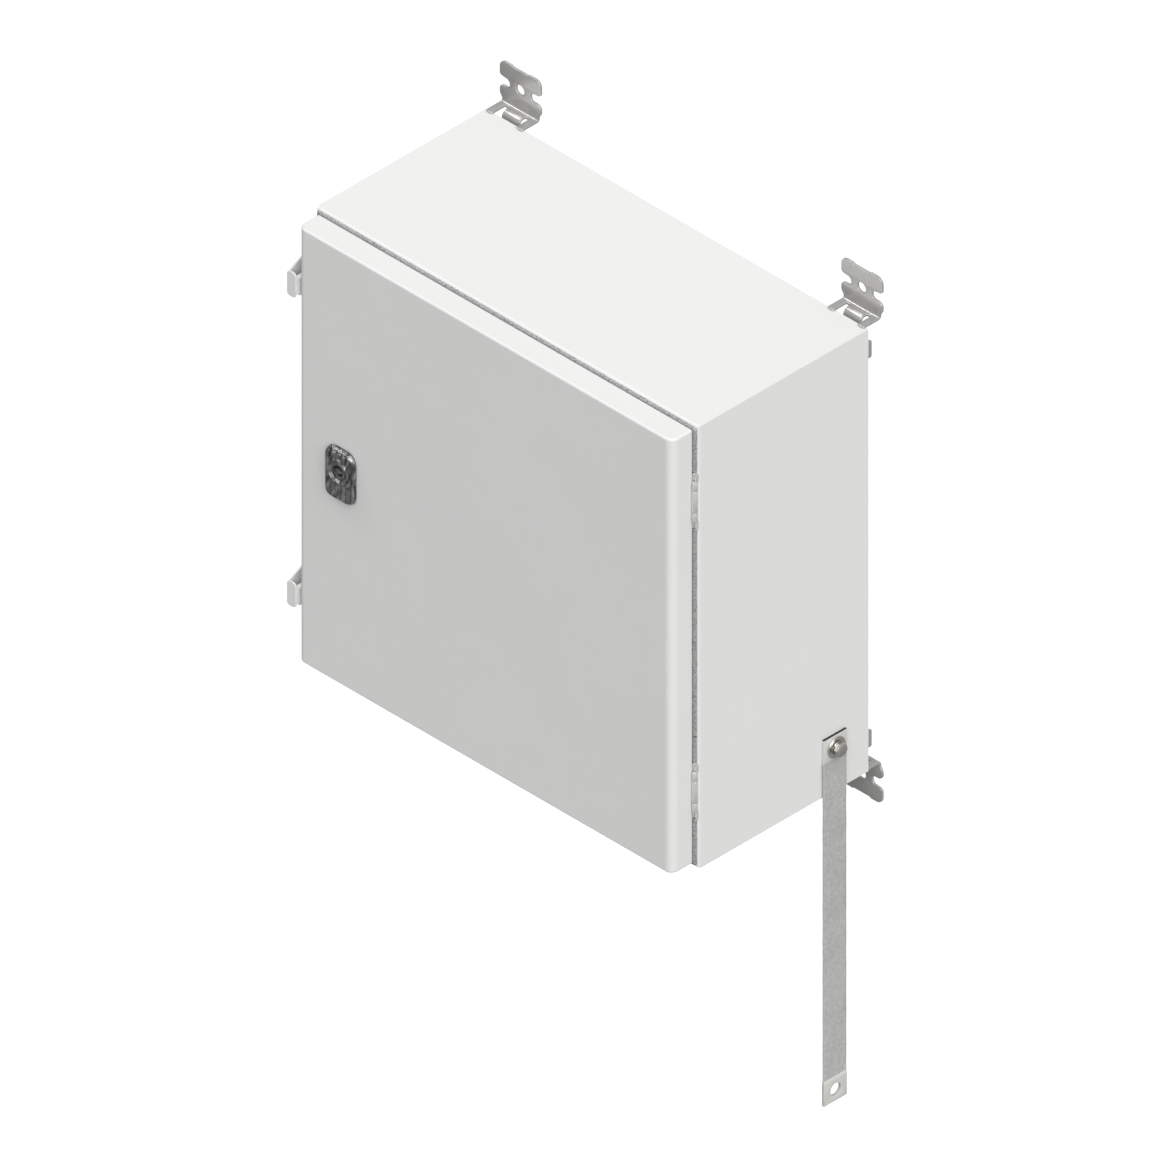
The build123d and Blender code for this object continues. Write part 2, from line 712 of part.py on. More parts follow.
# Nut behind the door
with BuildPart() as lock_ring:
    with BuildSketch(at_y(door_inner_y + lock_nut)):
        with Locations((lock_x, lock_rise)):
            RegularPolygon(lock_nut_flats / 2, 6, major_radius=False)
            Circle(lock_body_radius + lock_bore_fit, mode=Mode.SUBTRACT)
    extrude(amount=lock_nut)
lock_ring.part.label = "lock_nut"
export_step(lock_ring.part, "parts/lock_nut.step")

# Lock barrel with its double-bit pit and square end
cam_front_y = front_y + sheet + cam_behind_rim
cam_rear_y = cam_front_y + cam_thickness
with BuildPart() as lock_barrel:
    with BuildSketch(at_y(cam_front_y)):
        with Locations((lock_x, lock_rise)):
            Circle(barrel_radius)
    extrude(amount=cam_front_y - barrel_front_y)
    with BuildSketch(at_y(cam_rear_y)):
        with Locations((lock_x, lock_rise)):
            Rectangle(cam_square, cam_square)
    extrude(amount=cam_thickness)
    with BuildSketch(at_y(barrel_front_y + key_pit_depth)):
        with Locations((lock_x, lock_rise)):
            Circle(key_pit_radius)
            Circle(key_post_radius, mode=Mode.SUBTRACT)
            Rectangle(key_wing_span, key_wing_width, mode=Mode.SUBTRACT)
    extrude(amount=key_pit_depth, mode=Mode.SUBTRACT)
    with BuildSketch(at_y(cam_rear_y)):
        with Locations((lock_x, lock_rise)):
            Circle(cam_screw_radius + lock_bore_fit)
    extrude(amount=cam_screw_grip, mode=Mode.SUBTRACT)
lock_barrel.part.label = "lock_barrel"
export_step(lock_barrel.part, "parts/lock_barrel.step")

# Cam, shown unlocked: its tongue points down
with BuildPart() as lock_cam:
    with BuildSketch(at_y(cam_rear_y)):
        with Locations((lock_x, lock_rise)):
            Circle(cam_hub_radius)
        with Locations((lock_x, lock_rise - cam_length / 2)):
            RectangleRounded(cam_width, cam_length, cam_width / 4)
        with Locations((lock_x, lock_rise)):
            Rectangle(cam_square + 2 * cam_square_fit, cam_square + 2 * cam_square_fit, mode=Mode.SUBTRACT)
    extrude(amount=cam_thickness)
lock_cam.part.label = "lock_cam"
export_step(lock_cam.part, "parts/lock_cam.step")

# Washer behind the cam
with BuildPart() as cam_ring:
    with BuildSketch(at_y(cam_rear_y + cam_washer)):
        with Locations((lock_x, lock_rise)):
            Circle(cam_washer_radius)
            Circle(cam_screw_radius + m6_clearance, mode=Mode.SUBTRACT)
    extrude(amount=cam_washer)
cam_ring.part.label = "cam_washer"
export_step(cam_ring.part, "parts/cam_washer.step")

# Screw that holds the cam
with BuildPart() as cam_bolt:
    with BuildSketch(at_y(cam_rear_y + cam_washer + cam_screw_head)):
        with Locations((lock_x, lock_rise)):
            Circle(cam_screw_head_radius)
    extrude(amount=cam_screw_head)
    with BuildSketch(at_y(cam_rear_y + cam_washer)):
        with Locations((lock_x, lock_rise)):
            Circle(cam_screw_radius)
    extrude(amount=cam_washer + cam_screw_grip - cam_screw_end_gap)
cam_bolt.part.label = "cam_screw"
export_step(cam_bolt.part, "parts/cam_screw.step")

# Folded guides on the door's free edge, open to the rear
guide_outer_x = -door_half_x - guide_reach
guide_back_y = front_y + guide_overlap
for side, name in zip((1, -1), ("upper", "lower")):
    guide_z = side * (half_height - guide_end_inset)
    with BuildPart() as side_guide:
        with BuildSketch(at_y(door_front_y + guide_sheet)):
            with Locations((guide_outer_x + (guide_reach - guide_step) / 2, guide_z)):
                RectangleRounded(guide_reach - guide_step, guide_height, guide_corner)
        extrude(amount=guide_sheet)
        with BuildSketch(at_x(guide_outer_x)):
            with BuildLine():
                Polyline(
                    (door_front_y, guide_z - guide_height / 2 + guide_corner),
                    (door_front_y, guide_z + guide_height / 2 - guide_corner),
                    (door_front_y + guide_corner, guide_z + guide_height / 2),
                    (door_front_y + guide_ramp, guide_z + guide_height_back / 2),
                    (guide_back_y, guide_z + guide_height_back / 2),
                    (guide_back_y, guide_z - guide_height_back / 2),
                    close=True,
                )
            make_face()
        extrude(amount=guide_sheet)
        with BuildSketch(at_x(-door_half_x - guide_step - guide_sheet)):
            with Locations((door_front_y + guide_return / 2, guide_z)):
                Rectangle(guide_return, guide_height - 2 * guide_corner)
        extrude(amount=guide_sheet)
        with BuildSketch(at_x(-door_half_x - guide_step)):
            with Locations((door_front_y + (guide_recess + guide_return) / 2, guide_z)):
                Rectangle(guide_return - guide_recess, guide_height - 2 * guide_corner)
        extrude(amount=guide_step)
    side_guide.part.label = f"side_guide_{name}"
    export_step(side_guide.part, f"parts/side_guide_{name}.step")

# Earth strap: pressed ends and the braid between them
strap_top_z = earth_z + strap_end_margin
strap_bottom_z = earth_z - strap_hole_spacing - strap_end_margin
braid_top_z = strap_top_z - strap_end_length
braid_bottom_z = strap_bottom_z + strap_end_length
strap_ends = [
    ("upper", earth_z, strap_top_z, strap_bolt_hole_radius),
    ("lower", earth_z - strap_hole_spacing, braid_bottom_z, strap_lug_hole_radius),
]
for name, hole_z, end_top_z, hole_radius in strap_ends:
    with BuildPart() as strap_end:
        with BuildSketch(at_x(half_width)):
            with Locations((earth_y, end_top_z - strap_end_length / 2)):
                Rectangle(strap_width, strap_end_length)
            with Locations((earth_y, hole_z)):
                Circle(hole_radius, mode=Mode.SUBTRACT)
        extrude(amount=strap_end_thickness)
        fillet(strap_end.edges().filter_by(Axis.Z), radius=strap_edge)
    strap_end.part.label = f"strap_end_{name}"
    export_step(strap_end.part, f"parts/strap_end_{name}.step")

strap_inset = (strap_end_thickness - strap_thickness) / 2
with BuildPart() as strap_braid:
    with BuildSketch(at_x(half_width + strap_inset)):
        with Locations((earth_y, (braid_top_z + braid_bottom_z) / 2)):
            Rectangle(strap_width, braid_top_z - braid_bottom_z)
    extrude(amount=strap_thickness)
    fillet(strap_braid.edges().filter_by(Axis.Z), radius=strap_edge)
strap_braid.part.label = "strap_braid"
export_step(strap_braid.part, "parts/strap_braid.step")

# Earth bolt stack, from the strap outwards and inside the wall
stack_x = half_width + strap_end_thickness
with BuildPart() as earth_washer:
    with BuildSketch(at_x(stack_x)):
        with Locations((earth_y, earth_z)):
            Circle(m6_washer_radius)
            Circle(m6_radius + m6_clearance / 2, mode=Mode.SUBTRACT)
    extrude(amount=m6_washer)
earth_washer.part.label = "earth_washer"
export_step(earth_washer.part, "parts/earth_washer.step")

with BuildPart() as earth_spring_washer:
    with BuildSketch(at_x(stack_x + m6_washer)):
        with Locations((earth_y, earth_z)):
            Circle(m6_spring_radius)
            Circle(m6_radius + m6_clearance / 2, mode=Mode.SUBTRACT)
    extrude(amount=m6_spring)
earth_spring_washer.part.label = "earth_spring_washer"
export_step(earth_spring_washer.part, "parts/earth_spring_washer.step")

head_x = stack_x + m6_washer + m6_spring
bolt_end_x = half_width - sheet - m6_washer - m6_nut - thread_run_out
with BuildPart() as earth_bolt:
    with BuildSketch(at_x(head_x)):
        with Locations((earth_y, earth_z)):
            RegularPolygon(m6_flats / 2, 6, major_radius=False, rotation=30)
    extrude(amount=m6_head)
    with BuildSketch(at_x(bolt_end_x)):
        with Locations((earth_y, earth_z)):
            Circle(m6_radius)
    extrude(amount=head_x - bolt_end_x)
earth_bolt.part.label = "earth_bolt"
export_step(earth_bolt.part, "parts/earth_bolt.step")

with BuildPart() as earth_inner_washer:
    with BuildSketch(at_x(half_width - sheet - m6_washer)):
        with Locations((earth_y, earth_z)):
            Circle(m6_washer_radius)
            Circle(m6_radius + m6_clearance / 2, mode=Mode.SUBTRACT)
    extrude(amount=m6_washer)
earth_inner_washer.part.label = "earth_inner_washer"
export_step(earth_inner_washer.part, "parts/earth_inner_washer.step")

with BuildPart() as earth_nut:
    with BuildSketch(at_x(half_width - sheet - m6_washer - m6_nut)):
        with Locations((earth_y, earth_z)):
            RegularPolygon(m6_flats / 2, 6, major_radius=False)
            Circle(m6_radius + m6_clearance / 4, mode=Mode.SUBTRACT)
    extrude(amount=m6_nut)
earth_nut.part.label = "earth_nut"
export_step(earth_nut.part, "parts/earth_nut.step")

# Welded earth studs with their nuts, on the door and in the body
door_stud_at = (lock_x, -(door_half_z - door_stud_inset))
body_stud_at = (half_width - body_stud_inset, body_stud_rise - half_height)
for owner, stud_at, base_y in (("door", door_stud_at, door_inner_y), ("body", body_stud_at, rear_y - sheet)):
    way = -1 if owner == "door" else 1
    with BuildPart() as earth_stud:
        with BuildSketch(at_y(base_y)):
            with Locations(stud_at):
                Circle(stud_base_radius)
        extrude(amount=way * stud_base)
        with BuildSketch(at_y(base_y)):
            with Locations(stud_at):
                Circle(m6_radius)
        extrude(amount=way * stud_length)
    earth_stud.part.label = f"{owner}_earth_stud"
    export_step(earth_stud.part, f"parts/{owner}_earth_stud.step")

    with BuildPart() as stud_nut:
        with BuildSketch(at_y(base_y - way * stud_base)):
            with Locations(stud_at):
                RegularPolygon(m6_flats / 2, 6, major_radius=False)
                Circle(m6_radius + m6_clearance / 4, mode=Mode.SUBTRACT)
        extrude(amount=way * m6_nut)
    stud_nut.part.label = f"{owner}_earth_nut"
    export_step(stud_nut.part, f"parts/{owner}_earth_nut.step")
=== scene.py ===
"""Looks of a wall-mounted sheet-steel control cabinet: painted sheet, zinc-plated brackets,
a die-cast lock and a flat earth strap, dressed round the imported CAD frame."""

import math

import bmesh
import bpy
import numpy as np
from mathutils import Matrix, Vector


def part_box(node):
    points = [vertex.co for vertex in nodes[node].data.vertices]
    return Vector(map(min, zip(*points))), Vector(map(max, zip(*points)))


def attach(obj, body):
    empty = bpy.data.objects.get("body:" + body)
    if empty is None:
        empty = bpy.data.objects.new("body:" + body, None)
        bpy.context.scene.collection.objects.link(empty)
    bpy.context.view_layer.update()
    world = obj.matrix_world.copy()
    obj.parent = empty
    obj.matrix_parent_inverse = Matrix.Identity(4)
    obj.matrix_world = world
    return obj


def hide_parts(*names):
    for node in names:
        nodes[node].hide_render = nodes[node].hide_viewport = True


bl_info = {
    "name": "Control Cabinet",
    "version": (1, 0, 0),
    "blender": (4, 5, 0),
    "location": "View3D > Sidebar > Cabinet",
    "description": "Builds the finished pieces of a wall-mounted control cabinet",
    "category": "Object",
}

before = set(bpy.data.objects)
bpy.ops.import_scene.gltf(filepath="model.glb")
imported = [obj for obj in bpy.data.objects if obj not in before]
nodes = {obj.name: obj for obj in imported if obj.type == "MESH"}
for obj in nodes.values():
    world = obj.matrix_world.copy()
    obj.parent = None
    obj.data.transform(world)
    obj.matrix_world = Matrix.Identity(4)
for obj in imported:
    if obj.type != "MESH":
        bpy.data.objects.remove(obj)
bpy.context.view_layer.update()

MM = 0.001
SIDES = (-1, 1)
LEVELS = ("upper", "lower")
UP = Vector((0, 0, 1))
OUTWARDS = (1, 0, 0)
FORWARD = (0, -1, 0)

# Standard fasteners
M6_RADIUS = 3.0 * MM
M6_FLATS = 10 * MM
M6_PITCH = 1.0 * MM
M8_RADIUS = 4.0 * MM
M8_FLATS = 13 * MM
M8_HEAD = 5.3 * MM
M8_WASHER_RADIUS = 8.4 * MM
WASHER_PLAY = 0.25 * MM
WASHER_FACE = 0.4 * MM

# Places
REAR_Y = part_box("body_wrap")[1].y
BRACKET_BOLT_Z = 176.1 * MM


def linear(hex_colour):
    """sRGB hex to linear RGBA."""
    value = hex_colour.lstrip("#")
    channels = [int(value[i : i + 2], 16) / 255 for i in (0, 2, 4)]
    return tuple([c / 12.92 if c <= 0.04045 else ((c + 0.055) / 1.055) ** 2.4 for c in channels] + [1.0])


def colour_property(name, description, hex_colour):
    """A colour a user can change."""
    return bpy.props.FloatVectorProperty(
        name=name, description=description, default=linear(hex_colour), size=4, min=0, max=1, subtype="COLOR"
    )


def length_property(name, description, millimetres):
    """A length a user can change, in metres."""
    return bpy.props.FloatProperty(
        name=name, description=description, default=millimetres * MM, min=0, subtype="DISTANCE", unit="LENGTH"
    )


class CabinetColours(bpy.types.PropertyGroup):
    """Colours of the cabinet's finishes."""

    coat: colour_property("Powder coat", "Light grey paint on all sheet", "#DADAD9")
    zinc: colour_property("Zinc sheet", "Plated wall brackets", "#B8B7B5")
    bright_zinc: colour_property("Bright zinc", "Hinge leaves", "#DCDCDA")
    plating: colour_property("Plated fasteners", "Bolts, nuts and washers", "#CBC9C4")
    galvanised: colour_property("Galvanised plate", "Mounting plate", "#C2C4C5")
    die_cast: colour_property("Die cast", "Lock housing and barrel", "#828284")
    tin: colour_property("Tinned wire", "Braid of the earth strap", "#B6B6B4")
    tin_end: colour_property("Tinned end", "Pressed ends of the earth strap", "#D3D4CF")
    # Near-black colour given to the outer end face of each pressed strap end.
    cut: colour_property("Cut wires", "Sheared ends of the strap's wires", "#2E2B29")
    mesh: colour_property("Knitted wire", "Conductive gasket on the rim", "#A2A2A2")
    foam: colour_property("Foam", "Foamed door seal", "#2A2A2C")
    rubber: colour_property("Rubber", "Flat gaskets and seal washers", "#1D1D1E")
    floor: colour_property("Floor", "Pale ground under the studio", "#F4F4F4")


class CabinetSizes(bpy.types.PropertyGroup):
    """Sizes that only the looks need."""

    sheet_edge: length_property("Sheet edge", "Rounding on punched sheet edges", 0.35)
    bend_radius: length_property("Bend radius", "Inner radius of the brackets' first bend", 1.2)
    thread_pitch: length_property("Thread pitch", "Pitch of the M8 threads", 1.25)
    flute_pitch: length_property("Flute pitch", "Distance between the lock housing's flutes", 5.2)
    knit_pitch: length_property("Knit pitch", "Loop spacing of the knitted gasket", 2.2)
    braid_half: length_property("Braid layer", "Half the distance between the braid's two layers", 0.62)
    carriers: bpy.props.IntProperty(
        name="Carriers", description="Wire bundles each way round the braid", default=22, min=4, max=32
    )
    strands: bpy.props.IntProperty(
        name="Strands", description="Wires lying side by side in a bundle", default=4, min=2, max=8
    )


# Material tools


def add_node(tree, kind, inputs=None, **settings):
    """Adds a node, sets its attributes and fills or links its inputs."""
    node = tree.nodes.new(kind)
    for key, value in settings.items():
        setattr(node, key, value)
    for key, value in (inputs or {}).items():
        if isinstance(value, bpy.types.NodeSocket):
            tree.links.new(value, node.inputs[key])
        else:
            node.inputs[key].default_value = value
    return node


def started(name, slot):
    """A material with an empty tree, that tree, the place on the object and the slot's colour."""
    material = bpy.data.materials.new(f"{name}_finish")
    material.use_nodes = True
    tree = material.node_tree
    tree.nodes.clear()
    place = add_node(tree, "ShaderNodeTexCoord").outputs["Object"]
    return material, tree, place, getattr(bpy.context.scene.cabinet_colours, slot)


def shaded(tree, colour, pattern, low, high):
    """The colour, darker and lighter by a pattern."""
    dark, light = ([min(1, c * share) for c in colour[:3]] + [1] for share in (low, high))
    return add_node(tree, "ShaderNodeMix", {0: pattern, 6: dark, 7: light}, data_type="RGBA").outputs[2]


def surfaced(material, colour, shade, roughness, relief=None, **sockets):
    """Ends a material with its shader. The shade is a pattern with its darkest and lightest share of
    the colour, the roughness one value or a pattern with two, and the relief a pattern with its
    strength and its depth in millimetres."""
    tree = material.node_tree
    inputs = {"Base Color": shaded(tree, colour, *shade), "Roughness": roughness, **sockets}
    if isinstance(roughness, tuple):
        pattern, low, high = roughness
        ends = {"Value": pattern, "To Min": low, "To Max": high}
        inputs["Roughness"] = add_node(tree, "ShaderNodeMapRange", ends).outputs[0]
    if relief:
        pattern, strength, depth = relief
        height = {"Height": pattern, "Strength": strength, "Distance": depth * MM}
        inputs["Normal"] = add_node(tree, "ShaderNodeBump", height).outputs[0]
    shader = add_node(tree, "ShaderNodeBsdfPrincipled", inputs)
    add_node(tree, "ShaderNodeOutputMaterial", {"Surface": shader.outputs[0]})
    return material


def powder_coat():
    """Polyester powder coat, sprayed and baked: an even light grey with a soft sheen and a fine
    orange-peel skin that breaks up the highlights."""
    material, tree, place, colour = started("powder_coat", "coat")
    peel = add_node(tree, "ShaderNodeTexNoise", {"Vector": place, "Scale": 1 / (1.6 * MM), "Detail": 2.0})
    cloud = add_node(tree, "ShaderNodeTexNoise", {"Vector": place, "Scale": 1 / (90 * MM), "Detail": 3.0})
    skin = peel.outputs["Fac"]
    shade = (cloud.outputs["Fac"], 0.985, 1.012)
    return surfaced(material, colour, shade, (skin, 0.54, 0.62), (skin, 0.12, 0.05), IOR=1.5)


def zinc_sheet(name="zinc_sheet", slot="zinc"):
    """Cold-rolled sheet, electroplated with zinc: a bright warm grey metal with faint rolling
    lines and cloudy plating that make its highlights long and soft."""
    material, tree, place, colour = started(name, slot)
    drawn = add_node(tree, "ShaderNodeMapping", {"Vector": place, "Scale": (1, 1, 0.08)}).outputs[0]
    lines = add_node(tree, "ShaderNodeTexNoise", {"Vector": drawn, "Scale": 1 / (0.9 * MM), "Detail": 3.0})
    cloud = add_node(tree, "ShaderNodeTexNoise", {"Vector": place, "Scale": 1 / (9 * MM), "Detail": 4.0})
    patches = cloud.outputs["Fac"]
    relief = (lines.outputs["Fac"], 0.15, 0.04)
    return surfaced(material, colour, (patches, 0.9, 1.08), (patches, 0.24, 0.34), relief, Metallic=0.55)


def bright_zinc():
    """The same plating with a clear bright finish on the hinges' small leaves: paler, so that the
    hinges hardly stand out from the paint."""
    return zinc_sheet("bright_zinc", "bright_zinc")


def plated_steel():
    """Turned and rolled steel with zinc plating: bright, with fine machining marks and darker
    cloudy patches where it was handled."""
    material, tree, place, colour = started("plated_steel", "plating")
    marks = add_node(tree, "ShaderNodeTexNoise", {"Vector": place, "Scale": 1 / (0.5 * MM), "Detail": 3.0})
    cloud = add_node(tree, "ShaderNodeTexNoise", {"Vector": place, "Scale": 1 / (4 * MM), "Detail": 3.0})
    patches = cloud.outputs["Fac"]
    relief = (marks.outputs["Fac"], 0.2, 0.03)
    return surfaced(material, colour, (patches, 0.8, 1.12), (patches, 0.24, 0.4), relief, Metallic=1.0)


def galvanised_sheet():
    """Hot-dip galvanised steel: a mosaic of large zinc crystals, each with its own grey and gloss."""
    material, tree, place, colour = started("galvanised_sheet", "galvanised")
    wander = add_node(tree, "ShaderNodeTexNoise", {"Vector": place, "Scale": 1 / (6 * MM), "Detail": 2.0})
    reach = {0: wander.outputs["Color"], 1: (4 * MM, 4 * MM, 4 * MM), 2: place}
    shift = add_node(tree, "ShaderNodeVectorMath", reach, operation="MULTIPLY_ADD").outputs[0]
    spangle = add_node(tree, "ShaderNodeTexVoronoi", {"Vector": shift, "Scale": 1 / (11 * MM)})
    crystal = add_node(tree, "ShaderNodeSeparateColor", {"Color": spangle.outputs["Color"]}).outputs
    return surfaced(material, colour, (crystal[0], 0.9, 1.06), (crystal[1], 0.38, 0.52), Metallic=1.0)


def die_cast_zinc():
    """Pressure die-cast zinc with a dark bright-nickel finish: a smoky metal whose flowing casting
    skin mottles the reflections through its bump, while large dark and bright colour patches are painted
    reflections."""
    material, tree, place, colour = started("die_cast_zinc", "die_cast")
    drawn = add_node(tree, "ShaderNodeMapping", {"Vector": place, "Scale": (1, 1, 0.5)}).outputs[0]
    skin = {"Vector": drawn, "Scale": 1 / (5 * MM), "Detail": 2.0, "Distortion": 1.0}
    flow = add_node(tree, "ShaderNodeTexNoise", skin).outputs["Fac"]
    contrast = {"Value": flow, "From Min": 0.36, "From Max": 0.64}
    patches = add_node(tree, "ShaderNodeMapRange", contrast).outputs[0]
    # Colour patches from far darker to far lighter than the grey: painted reflections of a mottled chrome.
    shade = (patches, 0.35, 1.6)
    return surfaced(material, colour, shade, (flow, 0.26, 0.46), (flow, 0.8, 1.3), Metallic=0.85)


def tinned_braid():
    """Tinned copper wire, braided: soft grey metal, mottled where the wires lie a little lighter or
    darker."""
    material, tree, place, colour = started("tinned_braid", "tin")
    patch = add_node(tree, "ShaderNodeTexNoise", {"Vector": place, "Scale": 1 / (2.8 * MM), "Detail": 4.0})
    cloud = add_node(tree, "ShaderNodeTexNoise", {"Vector": place, "Scale": 1 / (30 * MM), "Detail": 2.0})
    wires = patch.outputs["Fac"]
    both = add_node(tree, "ShaderNodeMix", {0: 0.25, 2: wires, 3: cloud.outputs["Fac"]}, data_type="FLOAT")
    contrast = {"Value": both.outputs[0], "From Min": 0.32, "From Max": 0.68}
    mottle = add_node(tree, "ShaderNodeMapRange", contrast).outputs[0]
    return surfaced(material, colour, (mottle, 0.84, 1.15), (wires, 0.42, 0.6), Metallic=0.15)


def tinned_end():
    """Braid pressed flat and dipped in tin: a pale, slightly green-grey metal with the wires'
    imprint and a soft gloss."""
    material, tree, place, colour = started("tinned_end", "tin_end")
    imprint = add_node(tree, "ShaderNodeTexNoise", {"Vector": place, "Scale": 1 / (1.4 * MM), "Detail": 2.0})
    cloud = add_node(tree, "ShaderNodeTexNoise", {"Vector": place, "Scale": 1 / (7 * MM), "Detail": 3.0})
    wires = imprint.outputs["Fac"]
    shade = (cloud.outputs["Fac"], 0.9, 1.06)
    return surfaced(material, colour, shade, (wires, 0.38, 0.54), (wires, 0.35, 0.12), Metallic=0.25)


def cut_wire():
    """Near-black grey with a small cell pattern of darker and lighter spots, given to the outer end face of
    each pressed end.
    """
    material, tree, place, colour = started("cut_wire", "cut")
    strands = add_node(tree, "ShaderNodeTexVoronoi", {"Vector": place, "Scale": 1 / (0.5 * MM)})
    return surfaced(material, colour, (strands.outputs["Distance"], 0.7, 1.6), 0.7, Metallic=0.3)


def knitted_wire():
    """Tinned wire knitted round a foam core: tiny loops, coloured light on their tops and dark between them
    as painted glints and painted shade that follow the bump's height.
    """
    material, tree, place, colour = started("knitted_wire", "mesh")
    loops = add_node(tree, "ShaderNodeTexVoronoi", {"Vector": place, "Scale": 1 / (1.0 * MM)})
    domes = {"Value": loops.outputs["Distance"], "To Min": 1.0, "To Max": 0.0}
    height = add_node(tree, "ShaderNodeMapRange", domes).outputs[0]
    # The colour follows the loops' height: painted highlights on the loop tops, painted shade between the
    # loops.
    return surfaced(material, colour, (height, 0.3, 1.7), 0.45, (height, 0.8, 0.4), Metallic=0.3)


def foamed_seal():
    """Two-part polyurethane foam, poured in place: matt black-grey with small closed pores."""
    material, tree, place, colour = started("foamed_seal", "foam")
    voronoi = add_node(tree, "ShaderNodeTexVoronoi", {"Vector": place, "Scale": 1 / (0.9 * MM)})
    pores = voronoi.outputs["Distance"]
    return surfaced(material, colour, (pores, 0.7, 1.3), 0.85, (pores, 0.5, 0.2), IOR=1.5)


def moulded_rubber():
    """Moulded EPDM: nearly black, with a faint waxy bloom."""
    material, tree, place, colour = started("moulded_rubber", "rubber")
    wax = add_node(tree, "ShaderNodeTexNoise", {"Vector": place, "Scale": 1 / (5 * MM), "Detail": 4.0})
    bloom = wax.outputs["Fac"]
    return surfaced(material, colour, (bloom, 0.8, 1.5), (bloom, 0.55, 0.75), IOR=1.52)


def matt_floor():
    """Matt studio floor: an even pale sweep with the faintest mottling."""
    material, tree, place, colour = started("matt_floor", "floor")
    cloud = add_node(tree, "ShaderNodeTexNoise", {"Vector": place, "Scale": 1 / (900 * MM)})
    paint = shaded(tree, colour, cloud.outputs["Fac"], 0.998, 1.002)
    shader = add_node(tree, "ShaderNodeBsdfDiffuse", {"Color": paint})
    add_node(tree, "ShaderNodeOutputMaterial", {"Surface": shader.outputs[0]})
    return material


MATERIALS = {
    make.__name__: make
    for make in (
        powder_coat, zinc_sheet, bright_zinc, plated_steel, galvanised_sheet, die_cast_zinc, tinned_braid,
        tinned_end, cut_wire, knitted_wire, foamed_seal, moulded_rubber, matt_floor,
    )
}


def finish_named(name):
    """The named material, made when it is first asked for."""
    return bpy.data.materials.get(f"{name}_finish") or MATERIALS[name]()


# Mesh tools


def dress(node, name):
    """Gives a CAD node the named material."""
    obj = nodes[node]
    if not obj.material_slots:
        obj.data.materials.append(None)
    for slot in obj.material_slots:
        slot.link = "OBJECT"
        slot.material = finish_named(name)
    return obj


def soften(obj, edge):
    """Welds a CAD node's facets and rounds its sharp sheet edges."""
    weld = obj.modifiers.new("Weld", "WELD")
    weld.merge_threshold = 0.002 * MM
    bevel = obj.modifiers.new("Edge", "BEVEL")
    bevel.width = edge
    bevel.segments = 2
    bevel.limit_method = "ANGLE"
    bevel.angle_limit = math.radians(40)
    bevel.harden_normals = True


def smooth(mesh, angle=35):
    """Shades smooth, with edges over the angle left sharp."""
    mesh.polygons.foreach_set("use_smooth", [True] * len(mesh.polygons))
    mesh.set_sharp_from_angle(angle=math.radians(angle))


def piece(name, mesh, finish, node, body="cabinet", angle=35):
    """Puts a mesh in the scene as a piece that rides on a body and stands for a node."""
    smooth(mesh, angle)
    mesh.materials.clear()
    mesh.materials.append(finish_named(finish))
    obj = bpy.data.objects.new(name, mesh)
    bpy.context.scene.collection.objects.link(obj)
    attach(obj, body)
    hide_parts(node)
    return obj


def baked(work, name):
    """The mesh of a finished bmesh."""
    mesh = bpy.data.meshes.new(name)
    work.to_mesh(mesh)
    work.free()
    return mesh


def joined(name, meshes):
    """One mesh from several."""
    whole = bmesh.new()
    for mesh in meshes:
        whole.from_mesh(mesh)
        bpy.data.meshes.remove(mesh)
    return baked(whole, name)


def plated(name, meshes, node, body="cabinet"):
    """A piece of plated steel that stands for a node."""
    return piece(name, joined(name, meshes), "plated_steel", node, body)


def sliced(work, places, axis):
    """Cuts new edges across the mesh at each place along an axis."""
    for place in places:
        geometry = work.verts[:] + work.edges[:] + work.faces[:]
        bmesh.ops.bisect_plane(work, geom=geometry, plane_co=axis * place, plane_no=axis)


def curve_mesh(curve):
    """The mesh that a curve makes. The curve is used up."""
    obj = bpy.data.objects.new("curve", curve)
    bpy.context.scene.collection.objects.link(obj)
    bpy.context.view_layer.update()
    mesh = bpy.data.meshes.new_from_object(obj.evaluated_get(bpy.context.evaluated_depsgraph_get()))
    bpy.data.objects.remove(obj)
    bpy.data.curves.remove(curve)
    return mesh


def facing(origin, out, up=(0, 0, 1), turn=0):
    """Matrix that stands local z along out and local y as near to up as it can, and then turns by
    some degrees about out."""
    z = Vector(out).normalized()
    x = Vector(up).cross(z).normalized()
    stand = Matrix((x, z.cross(x), z)).transposed().to_4x4()
    return Matrix.Translation(Vector(origin)) @ stand @ Matrix.Rotation(math.radians(turn), 4, "Z")


def smoothstep(value, low, high):
    """0 below low, 1 above high, and smooth between them."""
    t = min(max((value - low) / (high - low), 0.0), 1.0)
    return t * t * (3 - 2 * t)


def arc(centre, radius, start, end, steps):
    """Points along an arc, angles in degrees."""
    angles = np.radians(np.linspace(start, end, steps + 1))
    return [(centre[0] + radius * math.cos(a), centre[1] + radius * math.sin(a)) for a in angles]


def circle(centre, radius, steps=32):
    """Points round a circle."""
    return arc(centre, radius, 0, 360 - 360 / steps, steps - 1)


